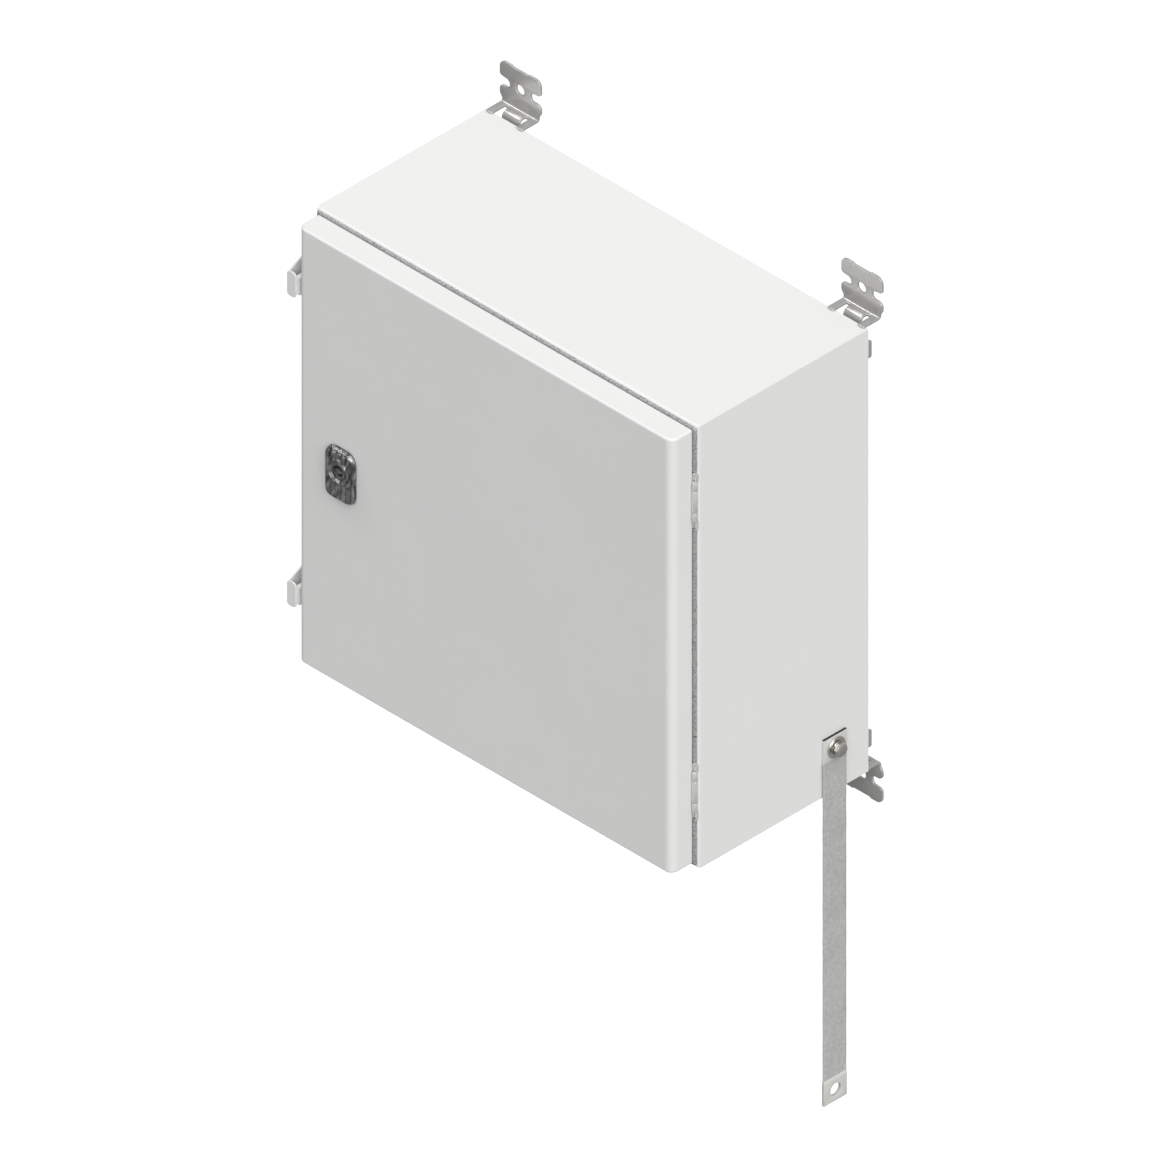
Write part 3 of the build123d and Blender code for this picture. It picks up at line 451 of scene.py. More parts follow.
def rounded(points, radii, steps=6):
    """A closed outline through the points, each corner rounded with its own radius."""
    outline = []
    count = len(points)
    for i, point in enumerate(points):
        corner = Vector(point)
        before = (Vector(points[i - 1]) - corner).normalized()
        after = (Vector(points[(i + 1) % count]) - corner).normalized()
        radius = radii[i] if hasattr(radii, "__len__") else radii
        half = before.angle(after) / 2
        if radius <= 0 or half > math.radians(89):
            outline.append(tuple(corner))
            continue
        reach = radius / math.tan(half)
        centre = corner + (before + after).normalized() * (radius / math.sin(half))
        first = corner + before * reach - centre
        turn = math.pi - 2 * half
        side = 1 if before.x * after.y - before.y * after.x < 0 else -1
        for k in range(steps + 1):
            spoke = first.copy()
            spoke.rotate(Matrix.Rotation(side * turn * k / steps, 2))
            outline.append(tuple(centre + spoke))
    return outline


def box_outline(width, height, radius, centre=(0, 0), steps=8):
    """A rounded rectangle."""
    x, y = centre
    corners = [(x + sx * width / 2, y + sy * height / 2) for sx, sy in ((1, 1), (-1, 1), (-1, -1), (1, -1))]
    return rounded(corners, radius, steps)


def sheet_mesh(outlines, thickness, edge, matrix=Matrix()):
    """Punched sheet: the first outline with the others as holes, edges rounded. Local z runs from 0
    to the thickness."""
    curve = bpy.data.curves.new("outline", "CURVE")
    curve.dimensions = "2D"
    curve.fill_mode = "BOTH"
    curve.extrude = thickness / 2 - edge
    curve.bevel_depth = edge
    curve.bevel_resolution = 2
    curve.offset = -edge
    for outline in outlines:
        spline = curve.splines.new("POLY")
        spline.points.add(len(outline) - 1)
        for point, place in zip(spline.points, outline):
            point.co = (place[0], place[1], 0, 1)
        spline.use_cyclic_u = True
    mesh = curve_mesh(curve)
    work = bmesh.new()
    work.from_mesh(mesh)
    bmesh.ops.remove_doubles(work, verts=work.verts, dist=0.001 * MM)
    bmesh.ops.recalc_face_normals(work, faces=work.faces)
    bmesh.ops.translate(work, verts=work.verts, vec=(0, 0, thickness / 2))
    work.transform(matrix)
    work.to_mesh(mesh)
    work.free()
    return mesh


def ring_mesh(rings, matrix=Matrix(), closed=False):
    """Skin over rings of points that all have the same count, capped at its ends or closed to a
    loop."""
    work = bmesh.new()
    rows = [[work.verts.new(matrix @ Vector(p)) for p in ring] for ring in rings]
    pairs = list(zip(rows, rows[1:]))
    if closed:
        pairs.append((rows[-1], rows[0]))
    count = len(rows[0])
    for low, high in pairs:
        for i in range(count):
            j = (i + 1) % count
            work.faces.new((low[i], low[j], high[j], high[i]))
    if not closed:
        work.faces.new(rows[0][::-1])
        work.faces.new(rows[-1])
    bmesh.ops.recalc_face_normals(work, faces=work.faces)
    return baked(work, "rings")


def turned(profile, matrix=Matrix(), count=48, closed=False):
    """A turned piece: profile is (radius, height) along its outline."""
    angles = np.linspace(0, 2 * math.pi, count, endpoint=False)
    rings = [[(r * math.cos(a), r * math.sin(a), h) for a in angles] for r, h in profile]
    return ring_mesh(rings, matrix, closed)


def hexagon(flats, height, matrix, washer_face=0.0, hole=0.0, both_ends=False):
    """A hexagon head or nut whose corners are turned off at 30 degrees. It stands on local z = 0."""
    count = 72
    angles = np.linspace(0, 2 * math.pi, count, endpoint=False)
    side = [flats / 2 / math.cos((a + math.pi / 6) % (math.pi / 3) - math.pi / 6) for a in angles]
    face = flats / 2 * 0.97
    slope = math.tan(math.radians(30))

    def ring(radii, heights):
        return [(r * math.cos(a), r * math.sin(a), h) for r, h, a in zip(radii, heights, angles)]

    top = [height - (r - face) * slope for r in side]
    bottom = [washer_face + (r - face) * slope if both_ends else washer_face for r in side]
    rings = []
    if washer_face:
        rings += [ring([face] * count, [0] * count), ring([face] * count, [washer_face] * count)]
    elif both_ends:
        rings.append(ring([face] * count, [0] * count))
    rings += [ring(side, bottom), ring(side, top), ring([face] * count, [height] * count)]
    if hole:
        lead = 0.4 * MM
        low = [(hole + lead, height), (hole, height - lead), (hole, lead), (hole + lead, 0)]
        rings += [ring([r] * count, [h] * count) for r, h in low]
        return ring_mesh(rings, matrix, closed=True)
    return ring_mesh(rings, matrix)


def threaded(radius, pitch, length, matrix, count=24):
    """A rolled thread with a chamfered end, standing on local z = 0."""
    rows_per_turn = 6
    depth = 0.6 * pitch
    rows = int((length / pitch + 1) * rows_per_turn)
    rings = []
    for k in range(rows + 1):
        phase = (k % rows_per_turn) / rows_per_turn
        bite = depth * max(0.0, 1 - abs(phase - 0.5) * 2.6)
        ring = []
        for i in range(count):
            turn = i / count
            height = min(max((k / rows_per_turn + turn - 1) * pitch, 0), length)
            taper = max(0.0, height - (length - depth))
            r = radius - max(bite, taper)
            angle = 2 * math.pi * turn
            ring.append((r * math.cos(angle), r * math.sin(angle), height))
        rings.append(ring)
    return ring_mesh(rings, matrix)


def ring_section(inner, outer, low, high, edge):
    """Radius and height of each point round a flat ring's section, with rounded rims."""
    return [
        (inner, low + edge), (inner + edge, low), (outer - edge, low), (outer, low + edge),
        (outer, high - edge), (outer - edge, high), (inner + edge, high), (inner, high - edge),
    ]


def washer(inner, outer, thickness, matrix, edge=0.25 * MM):
    """A flat washer with rounded rims."""
    return turned(ring_section(inner, outer, 0, thickness, edge), matrix, closed=True)


def spring_washer(inner, outer, thickness, matrix):
    """A split washer whose ends stand apart."""
    steps = 56
    gap = math.radians(9)
    rise = 0.35 * thickness
    edge = 0.2 * MM
    rings = []
    for k in range(steps + 1):
        angle = gap / 2 + (2 * math.pi - gap) * k / steps
        low = rise * k / steps
        section = ring_section(inner, outer, low, thickness - rise + low, edge)
        rings.append([(r * math.cos(angle), r * math.sin(angle), h) for r, h in section])
    return ring_mesh(rings, matrix)


def corner_places(x, z):
    """Four places, one in each corner."""
    return [(side_x * x, side_z * z) for side_x in SIDES for side_z in SIDES]


def m8_washers(places, node, edge=0.25 * MM):
    """The washers of a node at the places."""
    low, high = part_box(node)
    bore = M8_RADIUS + WASHER_PLAY
    seats = [facing((x, high.y, z), FORWARD) for x, z in places]
    return [washer(bore, M8_WASHER_RADIUS, high.y - low.y, seat, edge) for seat in seats]


def m8_nuts(places, node, first_turn, turn_step):
    """The nuts of a node at the places, each turned further than the last."""
    low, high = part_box(node)
    nuts = []
    for i, (x, z) in enumerate(places):
        seat = facing((x, high.y, z), FORWARD, turn=turn_step * i + first_turn)
        nuts.append(hexagon(M8_FLATS, high.y - low.y, seat, hole=M8_RADIUS, both_ends=True))
    return nuts


# Stage


def camera_back():
    """Direction from the object to the camera: an exact isometric view from the front right."""
    azimuth = math.radians(45)
    elevation = math.atan(1 / math.sqrt(2))
    return Vector((
        math.sin(azimuth) * math.cos(elevation),
        -math.cos(azimuth) * math.cos(elevation),
        math.sin(elevation),
    ))


class CABINET_OT_stage(bpy.types.Operator):
    """Sets up the camera, the lights and the floor"""

    bl_idname = "cabinet.stage"
    bl_label = "Stage"

    def execute(self, context):
        scene = context.scene
        photo_pixels = 1168
        pixels_per_metre = 1352.73
        aim = Vector((0, -0.11363, -0.08187))
        back = camera_back()
        data = bpy.data.cameras.new("camera")
        data.type = "ORTHO"
        data.ortho_scale = photo_pixels / pixels_per_metre
        data.clip_end = 100
        camera = bpy.data.objects.new("camera", data)
        scene.collection.objects.link(camera)
        camera.location = aim + back * 3
        camera.rotation_euler = back.to_track_quat("Z", "Y").to_euler()
        scene.camera = camera
        scene.view_settings.view_transform = "Standard"

        floor_drop = 2.6
        floor_size = 60
        mesh = bpy.data.meshes.new("floor")
        half = floor_size / 2
        corners = [(x * half, y * half, -floor_drop) for x, y in ((-1, -1), (1, -1), (1, 1), (-1, 1))]
        mesh.from_pydata(corners, [], [(0, 1, 2, 3)])
        floor = bpy.data.objects.new("floor", mesh)
        floor.data.materials.append(finish_named("matt_floor"))
        scene.collection.objects.link(floor)
        floor.visible_diffuse = False
        floor.visible_glossy = False
        floor.visible_shadow = False

        world = bpy.data.worlds.new("studio")
        world.use_nodes = True
        tree = world.node_tree
        tree.nodes.clear()
        place = add_node(tree, "ShaderNodeTexCoord").outputs["Generated"]
        brightest = {0: place, 1: (0.45, 0, 0.89)}
        height = add_node(tree, "ShaderNodeVectorMath", brightest, operation="DOT_PRODUCT").outputs["Value"]
        ends = {"Value": height, "From Min": -1.0, "To Min": 0.22, "To Max": 0.62}
        glow = add_node(tree, "ShaderNodeMapRange", ends).outputs[0]
        sky = add_node(tree, "ShaderNodeBackground", {"Color": linear("#FFFFFF"), "Strength": glow})
        add_node(tree, "ShaderNodeOutputWorld", {"Surface": sky.outputs[0]})
        scene.world = world

        lamps = (
            ("key", (0.633, -0.411, 0.656), 2.67, 60),
            ("left_rim", (-0.58, -0.15, 0.8), 0.7, 14),
        )
        for name, direction, strength, softness in lamps:
            lamp = bpy.data.lights.new(name, "SUN")
            lamp.energy = strength
            lamp.angle = math.radians(softness)
            obj = bpy.data.objects.new(name, lamp)
            obj.rotation_euler = Vector(direction).to_track_quat("Z", "Y").to_euler()
            scene.collection.objects.link(obj)
        return {"FINISHED"}


# Earth strap


def route_points(points):
    """Points along the smooth line of a route, read from its own NURBS spline."""
    curve = bpy.data.curves.new("route", "CURVE")
    curve.dimensions = "3D"
    curve.resolution_u = 16
    spline = curve.splines.new("NURBS")
    spline.points.add(len(points) - 1)
    for point, place in zip(spline.points, points):
        point.co = (*place, 1)
    spline.order_u = 3
    spline.use_endpoint_u = True
    mesh = curve_mesh(curve)
    line = [Vector(v.co) for v in mesh.vertices]
    bpy.data.meshes.remove(mesh)
    return line


def braid_mesh(line, width, half, carriers, strands):
    """A tubular braid rolled flat along a line: wire bundles wind both ways round it and pass over
    and under each other."""
    steps = [0.0]
    for a, b in zip(line, line[1:]):
        steps.append(steps[-1] + (b - a).length)
    total = steps[-1]
    straight = width - 2 * half
    girth = 2 * straight + 2 * math.pi * half
    pitch = girth / carriers
    wave = 0.14 * MM
    wire = pitch * math.cos(math.radians(45)) / strands * 0.5
    columns = np.linspace(-1, 1, 2 * strands + 1)
    relief = np.where(np.arange(2 * strands + 1) % 2 == 1, wire * 0.45, 0.0)
    sample = 1.1 * MM
    samples = int(total / sample)
    depths = np.linspace(0, total, samples + 1)
    places = np.array([[np.interp(d, steps, [p[i] for p in line]) for i in range(3)] for d in depths])

    def around(s):
        """Offset across the width, offset along the thickness and outward normal of a place on the
        flattened tube."""
        side = 1 if s % girth < girth / 2 else -1
        s %= girth / 2
        if s < straight:
            place = (s - straight / 2, half, 0.0, 1.0)
        else:
            a = math.pi / 2 - (s - straight) / half
            place = (straight / 2 + half * math.cos(a), half * math.sin(a), math.cos(a), math.sin(a))
        return [side * value for value in place]

    work = bmesh.new()
    bundle_half = wire * strands * 0.97
    for way in (1, -1):
        for carrier in range(carriers):
            rows = []
            for k, depth in enumerate(depths):
                base = carrier * pitch + way * depth
                lift = way * wave * math.cos(2 * math.pi * depth / pitch)
                row = []
                for column, bump in zip(columns, relief):
                    slide = column * bundle_half * math.sqrt(0.5)
                    across, deep, nx, ny = around(base + slide)
                    out = lift + bump
                    fall = depth - way * slide
                    x = places[k][0] + deep + ny * out
                    y = places[k][1] + across + nx * out
                    z = places[k][2] - (fall - depth)
                    row.append(work.verts.new((x, y, min(max(z, line[-1].z), line[0].z))))
                rows.append(row)
            for low, high in zip(rows, rows[1:]):
                for i in range(len(columns) - 1):
                    work.faces.new((low[i], low[i + 1], high[i + 1], high[i]))
    return baked(work, "strap_braid_woven")


def pressed_end(low, high, hole, hole_radius, braid_side):
    """A pressed braid end with its bolt hole: wavy where the braid runs into it."""
    margin, edge = 0.9 * MM, 0.5 * MM
    width = high.y - low.y - margin
    height = high.z - low.z
    steps = 26
    blend_depth = 2.6 * MM
    wavy = []
    for k in range(steps + 1):
        y = width / 2 - width * k / steps
        swing = math.sin(k * 0.9) + 0.6 * math.sin(k * 2.3 + 1)
        wavy.append((y, height / 2 - blend_depth * (0.5 - 0.3 * swing) + blend_depth))
    outline = wavy + [(-width / 2, -height / 2), (width / 2, -height / 2)]
    middle = (low + high) / 2
    hole_at = (hole[0] - middle.y, (hole[1] - middle.z) * braid_side)
    outlines = [outline, circle(hole_at, hole_radius, 40)]
    out = facing((low.x, middle.y, middle.z), (1, 0, 0))
    flip = Matrix.Diagonal((1, braid_side, 1, 1))
    mesh = sheet_mesh(outlines, high.x - low.x, edge, out @ flip)
    if braid_side < 0:
        mesh.flip_normals()
    taper, lead = 3.2 * MM, 2.4 * MM
    seam = high.z if braid_side > 0 else low.z
    start = seam - lead * braid_side
    work = bmesh.new()
    work.from_mesh(mesh)
    sliced(work, [start + share * taper * braid_side for share in np.linspace(0, 1, 6)], UP)
    for vertex in work.verts:
        share = smoothstep((vertex.co.z - start) * braid_side, 0, taper)
        vertex.co.x = middle.x + (vertex.co.x - middle.x) * (1 - 0.6 * share)
    work.to_mesh(mesh)
    work.free()
    return mesh


class CABINET_OT_earth_strap(bpy.types.Operator):
    """Makes the flat braided earth strap with its two pressed ends"""

    bl_idname = "cabinet.earth_strap"
    bl_label = "Earth strap"

    def execute(self, context):
        sizes = context.scene.cabinet_sizes
        low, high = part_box("strap_braid")
        middle_x = (low.x + high.x) / 2
        middle_y = (low.y + high.y) / 2
        route = [(middle_x, middle_y, high.z), (middle_x, middle_y, low.z)]
        line = route_points([route[0], tuple(np.mean(route, axis=0)), route[1]])
        width = high.y - low.y
        mesh = braid_mesh(line, width - 0.6 * MM, sizes.braid_half, sizes.carriers, sizes.strands)
        braid = piece("strap_braid_woven", mesh, "tinned_braid", "strap_braid", angle=60)
        hole_inset, m6_hole, m10_hole = 10.5 * MM, 3.3 * MM, 5.25 * MM
        for name, braid_side, hole_radius in (("upper", -1, m6_hole), ("lower", 1, m10_hole)):
            node = f"strap_end_{name}"
            end_low, end_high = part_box(node)
            hole_z = end_high.z - hole_inset if name == "upper" else end_low.z + hole_inset
            mesh = pressed_end(end_low, end_high, (middle_y, hole_z), hole_radius, braid_side)
            end = piece(f"{node}_pressed", mesh, "tinned_end", node, angle=50)
            mesh.materials.append(finish_named("cut_wire"))
            mesh.materials.append(finish_named("tinned_braid"))
            for face in mesh.polygons:
                if math.dist(face.center.yz, (middle_y, hole_z)) < hole_radius + 0.3 * MM:
                    face.material_index = 2
                # The outer end face of each pressed end gets the near-black finish.
                elif face.normal.z * braid_side < -0.8 and len(face.vertices) >= 4:
                    face.material_index = 1
        return {"FINISHED"}


class CABINET_OT_earth_bolt(bpy.types.Operator):
    """Makes the earth bolt with its washers and nut"""

    bl_idname = "cabinet.earth_bolt"
    bl_label = "Earth bolt"

    def execute(self, context):
        low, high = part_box("earth_bolt")
        y, z = (low.y + high.y) / 2, (low.z + high.z) / 2
        head = 4.0 * MM
        under_head = high.x - head
        bolt = [
            hexagon(M6_FLATS, head, facing((under_head, y, z), OUTWARDS, turn=18), washer_face=WASHER_FACE),
            threaded(M6_RADIUS, M6_PITCH, under_head - low.x, facing((under_head, y, z), (-1, 0, 0))),
        ]
        plated("earth_bolt_hex", bolt, "earth_bolt")
        bore = M6_RADIUS + WASHER_PLAY
        for node in ("earth_washer", "earth_inner_washer"):
            low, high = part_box(node)
            ring = washer(bore, (high.z - low.z) / 2, high.x - low.x, facing((low.x, y, z), OUTWARDS))
            plated(f"{node}_flat", [ring], node)
        low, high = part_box("earth_spring_washer")
        seat = facing((low.x, y, z), OUTWARDS, turn=140)
        ring = spring_washer(bore, (high.z - low.z) / 2, high.x - low.x, seat)
        plated("earth_spring_washer_split", [ring], "earth_spring_washer")
        low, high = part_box("earth_nut")
        seat = facing((low.x, y, z), OUTWARDS)
        nut = hexagon(M6_FLATS, high.x - low.x, seat, hole=M6_RADIUS, both_ends=True)
        plated("earth_nut_hex", [nut], "earth_nut")
        return {"FINISHED"}


# Painted sheet


class CABINET_OT_painted_sheet(bpy.types.Operator):
    """Paints the body, the rim, the rear panel, the door and its side guides"""

    bl_idname = "cabinet.painted_sheet"
    bl_label = "Painted sheet"

    def execute(self, context):
        edge = context.scene.cabinet_sizes.sheet_edge
        for node in ("body_wrap", "front_rim", "rear_panel", "door_panel"):
            dress(node, "powder_coat")
        for name in LEVELS:
            soften(dress(f"side_guide_{name}", "powder_coat"), edge)
        return {"FINISHED"}


# Gaskets


def frame_sweep(half_x, half_z, y, section, corner, pitch, sway, out=-1):
    """Sweeps a section round a rounded rectangle that faces the front. The section is (inward,
    forward) offsets, and sway(distance, index) adds a height."""
    path = []
    outline = box_outline(2 * half_x, 2 * half_z, corner, steps=8)
    closed = outline + [outline[0]]
    for a, b in zip(closed, closed[1:]):
        length = math.dist(a, b)
        count = max(1, round(length / pitch))
        for k in range(count):
            t = k / count
            path.append((a[0] + (b[0] - a[0]) * t, a[1] + (b[1] - a[1]) * t))
    count = len(path)
    rings = []
    distance = 0.0
    for i, point in enumerate(path):
        before = Vector(path[i - 1])
        after = Vector(path[(i + 1) % count])
        along = (after - before).normalized()
        inward = Vector((-along.y, along.x))
        if inward.dot(Vector(point)) > 0:
            inward.negate()
        ring = []
        for k, (a, b) in enumerate(section):
            height = b + sway(distance, k) if b > 0 else b
            ring.append((point[0] + inward.x * a, y + out * height, point[1] + inward.y * a))
        rings.append(ring)
        distance += pitch
    return ring_mesh(rings, closed=True)


def without_hinges(mesh):
    """Takes out the gasket's two stretches at the hinges."""
    work = bmesh.new()
    work.from_mesh(mesh)
    margin = 0.8 * MM
    for name in LEVELS:
        low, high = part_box(f"hinge_frame_leaf_{name}")
        sliced(work, (low.z - margin, high.z + margin), UP)
        middles = [(face, face.calc_center_median()) for face in work.faces]
        inside = [f for f, at in middles if low.z - margin < at.z < high.z + margin and at.x > low.x]
        bmesh.ops.delete(work, geom=inside, context="FACES")
    bmesh.ops.holes_fill(work, edges=[e for e in work.edges if e.is_boundary], sides=0)
    bpy.data.meshes.remove(mesh)
    return baked(work, "rim_gasket_knitted")


class CABINET_OT_gaskets(bpy.types.Operator):
    """Makes the knitted rim gasket, the foamed door seal and the flat rubber gaskets"""

    bl_idname = "cabinet.gaskets"
    bl_label = "Gaskets"

    def execute(self, context):
        knit = context.scene.cabinet_sizes.knit_pitch
        low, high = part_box("rim_gasket")
        width = 7.8 * MM
        height = high.y - low.y
        steps = 10
        section = []
        for k in range(steps + 1):
            a = math.pi * k / steps
            section.append((width / 2 * (1 - math.cos(a)), height * math.sin(a) ** 0.6))

        def stitches(distance, index):
            depth = 0.16 * MM
            return depth * math.sin(2 * math.pi * distance / knit + (index % 2) * math.pi) - depth

        full = frame_sweep(high.x, high.z, high.y, section, 3 * MM, knit / 4, stitches)
        mesh = without_hinges(full)
        piece("rim_gasket_knitted", mesh, "knitted_wire", "rim_gasket", angle=70)

        low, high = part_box("door_seal")
        width = 12 * MM
        depth = high.y - low.y
        section = [(0, 0), (0.4 * MM, depth * 0.45), (1.8 * MM, depth * 0.8), (4 * MM, depth * 0.97)]
        section += [(width - a, b) for a, b in section[::-1]]

        def pour(distance, index):
            depth, swell, ripple = 0.25 * MM, 23 * MM, 7.3 * MM
            return -depth * (1 + math.sin(distance / swell) * math.sin(distance / ripple))

        mesh = frame_sweep(high.x, high.z, low.y, section, 9 * MM, 3 * MM, pour, out=1)
        piece("door_seal_foamed", mesh, "foamed_seal", "door_seal", "door", 60)
        for node in ("entry_gasket", "lock_seal"):
            dress(node, "moulded_rubber")
        return {"FINISHED"}


# Wall brackets


def folded(run, lift, start, bends):
    """Where a point of a flat pattern comes to lie: a run down the sheet from the start and a lift
    off its middle. The bends are (length, turn) of each stretch."""
    y, z = start
    heading = -math.pi / 2
    for length, turn in bends:
        step = min(run, length)
        if turn:
            radius = length / turn
            y -= radius * math.sin(heading)
            z += radius * math.cos(heading)
            heading += turn * step / length
            y += radius * math.sin(heading)
            z -= radius * math.cos(heading)
        else:
            y += step * math.cos(heading)
            z += step * math.sin(heading)
        run -= step
        if run <= 0:
            break
    return y + lift * math.sin(heading), z - lift * math.cos(heading)


def bracket_outline(root, arm_end, foot, foot_end):
    """The bracket's flat pattern in millimetres, x across and y up from its hole: wall plate with
    two open side slots, neck, two arms and between them the tongue that widens to the foot."""
    half = 21.5
    top = 17.9
    neck = 19.0
    arm = 12.6
    tongue = 8.8
    right = [
        (9.4, top), (half, top), (half, 5.0), (19.2, 3.9), (11.0, 3.0), (11.0, -4.1), (18.0, -4.1),
        (half, -6.2), (half, -11.6), (neck, -15.5), (neck, -arm_end), (arm, -arm_end), (arm, -root),
        (tongue, -root), (tongue, -foot), (neck, -foot), (neck, -foot_end),
    ]
    radii = [0.8, 6.0, 2.4, 3.0, 3.4, 3.4, 2.0, 3.0, 2.6, 3.0, 1.8, 1.8, 0.8, 0.8, 1.0, 1.5, 1.5]
    crest = (8.2, top - 0.9)
    left = [(-x, y) for x, y in right[::-1]]
    points = right + left + [(-crest[0], crest[1]), crest]
    return rounded(points, radii + radii[::-1] + [0.8, 0.8])


def bracket_mesh(centre_x, side_z, sizes):
    """One bracket, punched flat, cut along its bends and folded."""
    sheet = 2.0
    hole_z = 220.0
    shelf_z = 201.0
    foot_z = 168.0
    bolt_z = BRACKET_BOLT_Z / MM
    wall_hole = 4.25
    bolt_hole = 4.5
    slit = 1.8
    rear_y = REAR_Y / MM
    start = (-sheet / 2, hole_z)
    quarter = math.pi / 2
    wall_bend = sizes.bend_radius / MM + sheet / 2
    front_bend = 4.4
    soft_bend = 1.5
    tongue_y = rear_y + 3.6 + sheet / 2
    joggle_z = 193.0
    joggle = tongue_y - rear_y - sheet / 2
    cut = soft_bend * math.tan(quarter / 4)
    bends = [
        (hole_z - shelf_z - wall_bend, 0),
        (quarter * wall_bend, -quarter),
        (start[0] - wall_bend - tongue_y - front_bend, 0),
        (quarter * front_bend, quarter),
        (shelf_z - front_bend - joggle_z - cut, 0),
        (quarter / 2 * soft_bend, -quarter / 2),
        (math.sqrt(2) * joggle - 2 * cut, 0),
        (quarter / 2 * soft_bend, quarter / 2),
    ]
    ends = np.cumsum([length for length, turn in bends])
    level_z = joggle_z - joggle - cut
    root = ends[1] + slit
    arm_end = ends[1] + (start[0] - wall_bend) - (rear_y - 3.0)
    foot = ends[-1] + slit
    bolt = ends[-1] + level_z - bolt_z
    foot_end = ends[-1] + level_z - foot_z
    bends.append((foot_end, 0))
    arm_bends = bends[:2] + [(foot_end, 0)]
    outlines = [
        bracket_outline(root, arm_end, foot, foot_end),
        circle((0, 0), wall_hole, 36),
        circle((0, -bolt), bolt_hole, 28),
    ]
    flat = sheet_mesh([[(x * MM, y * MM) for x, y in o] for o in outlines], sheet * MM, sizes.sheet_edge)
    work = bmesh.new()
    work.from_mesh(flat)
    bpy.data.meshes.remove(flat)
    for end, (length, turn) in zip(ends, bends):
        if turn:
            sliced(work, [-run * MM for run in np.linspace(end - length, end, 9)], Vector((0, 1, 0)))
    arm_inside = 10.5
    for vertex in work.verts:
        run = -vertex.co.y / MM
        lift = vertex.co.z / MM - sheet / 2
        on_arm = abs(vertex.co.x) > arm_inside * MM and run < arm_end + 1
        y, z = folded(run, lift, start, arm_bends if on_arm else bends)
        vertex.co = Vector((centre_x + vertex.co.x, y * MM, side_z * z * MM))
    ear_x = 15.7 * MM
    for side in SIDES:
        ear = bracket_ear(centre_x + side * ear_x, side_z)
        work.from_mesh(ear)
        bpy.data.meshes.remove(ear)
    bmesh.ops.recalc_face_normals(work, faces=work.faces)
    return baked(work, "bracket")


def bracket_ear(x, side_z):
    """A folded ear beside the bracket's foot bolt."""
    width, height, corner = 8.4, 15.4, 1.6
    thickness, edge = 2 * MM, 0.3 * MM
    outline = [(a * MM, b * MM) for a, b in box_outline(width, height, corner, steps=4)]
    seat = facing((x - thickness / 2, REAR_Y + width / 2 * MM, side_z * BRACKET_BOLT_Z), OUTWARDS)
    return sheet_mesh([outline], thickness, edge, seat)


def bracket_fasteners(sizes):
    """Bolts, seal washers and nuts at the brackets' feet."""
    low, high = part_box("bracket_bolts")
    seal_low, seal_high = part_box("bracket_seal_washers")
    x = (abs(seal_low.x) + abs(seal_high.x)) / 2 - M8_WASHER_RADIUS
    z = (abs(seal_low.z) + abs(seal_high.z)) / 2 - M8_WASHER_RADIUS
    places = corner_places(x, z)
    under_head = high.y - M8_HEAD
    first_turn, turn_step = 5, 17
    bolts = []
    for i, (px, pz) in enumerate(places):
        head = facing((px, under_head, pz), (0, 1, 0), turn=turn_step * i + first_turn)
        bolts.append(hexagon(M8_FLATS, M8_HEAD, head, washer_face=WASHER_FACE))
        shank = facing((px, under_head, pz), FORWARD)
        bolts.append(threaded(M8_RADIUS, sizes.thread_pitch, under_head - low.y, shank))
    plated("bracket_bolts_hex", bolts, "bracket_bolts")
    plated("bracket_nuts_hex", m8_nuts(places, "bracket_nuts", first_turn, turn_step), "bracket_nuts")
    node = "bracket_seal_washers"
    seals = joined("seals", m8_washers(places, node, 0.5 * MM))
    piece(f"{node}_flat", seals, "moulded_rubber", node)


class CABINET_OT_wall_brackets(bpy.types.Operator):
    """Makes the four folded wall brackets with their bolts, nuts and seal washers"""

    bl_idname = "cabinet.wall_brackets"
    bl_label = "Wall brackets"

    def execute(self, context):
        sizes = context.scene.cabinet_sizes
        for name in ("top_left", "top_right", "bottom_left", "bottom_right"):
            node = f"wall_bracket_{name}"
            low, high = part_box(node)
            side_z = 1 if name.startswith("top") else -1
            mesh = bracket_mesh((low.x + high.x) / 2, side_z, sizes)
            piece(f"{node}_folded", mesh, "zinc_sheet", node)
        bracket_fasteners(sizes)
        return {"FINISHED"}


# Mounting plate


class CABINET_OT_mounting_plate(bpy.types.Operator):
    """Makes the galvanised mounting plate with its studs, washers and nuts"""

    bl_idname = "cabinet.mounting_plate"
    bl_label = "Mounting plate"

    def execute(self, context):
        sizes = context.scene.cabinet_sizes
        low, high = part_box("mounting_plate")
        inset, corner, hole = 20 * MM, 6 * MM, 4.5 * MM
        places = corner_places(high.x - inset, high.z - inset)
        outlines = [box_outline(high.x - low.x, high.z - low.z, corner)]
        outlines += [circle(place, hole) for place in places]
        mesh = sheet_mesh(outlines, high.y - low.y, sizes.sheet_edge, facing((0, high.y, 0), FORWARD))
        piece("mounting_plate_punched", mesh, "galvanised_sheet", "mounting_plate")
        stud_low, stud_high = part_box("plate_studs")
        collar = stud_high.y - high.y
        flange, edge = 8 * MM, 0.6 * MM
        profile = [(flange, 0), (flange, collar - edge), (flange - edge, collar), (M8_RADIUS, collar)]
        studs = []
        for x, z in places:
            studs.append(turned(profile, facing((x, stud_high.y, z), FORWARD)))
            root = facing((x, high.y, z), FORWARD)
            studs.append(threaded(M8_RADIUS, sizes.thread_pitch, high.y - stud_low.y, root))
        plated("plate_studs_threaded", studs, "plate_studs")
        plated("plate_washers_flat", m8_washers(places, "plate_washers"), "plate_washers")
        plated("plate_nuts_hex", m8_nuts(places, "plate_nuts", 8, 23), "plate_nuts")
        return {"FINISHED"}


# Cable entry


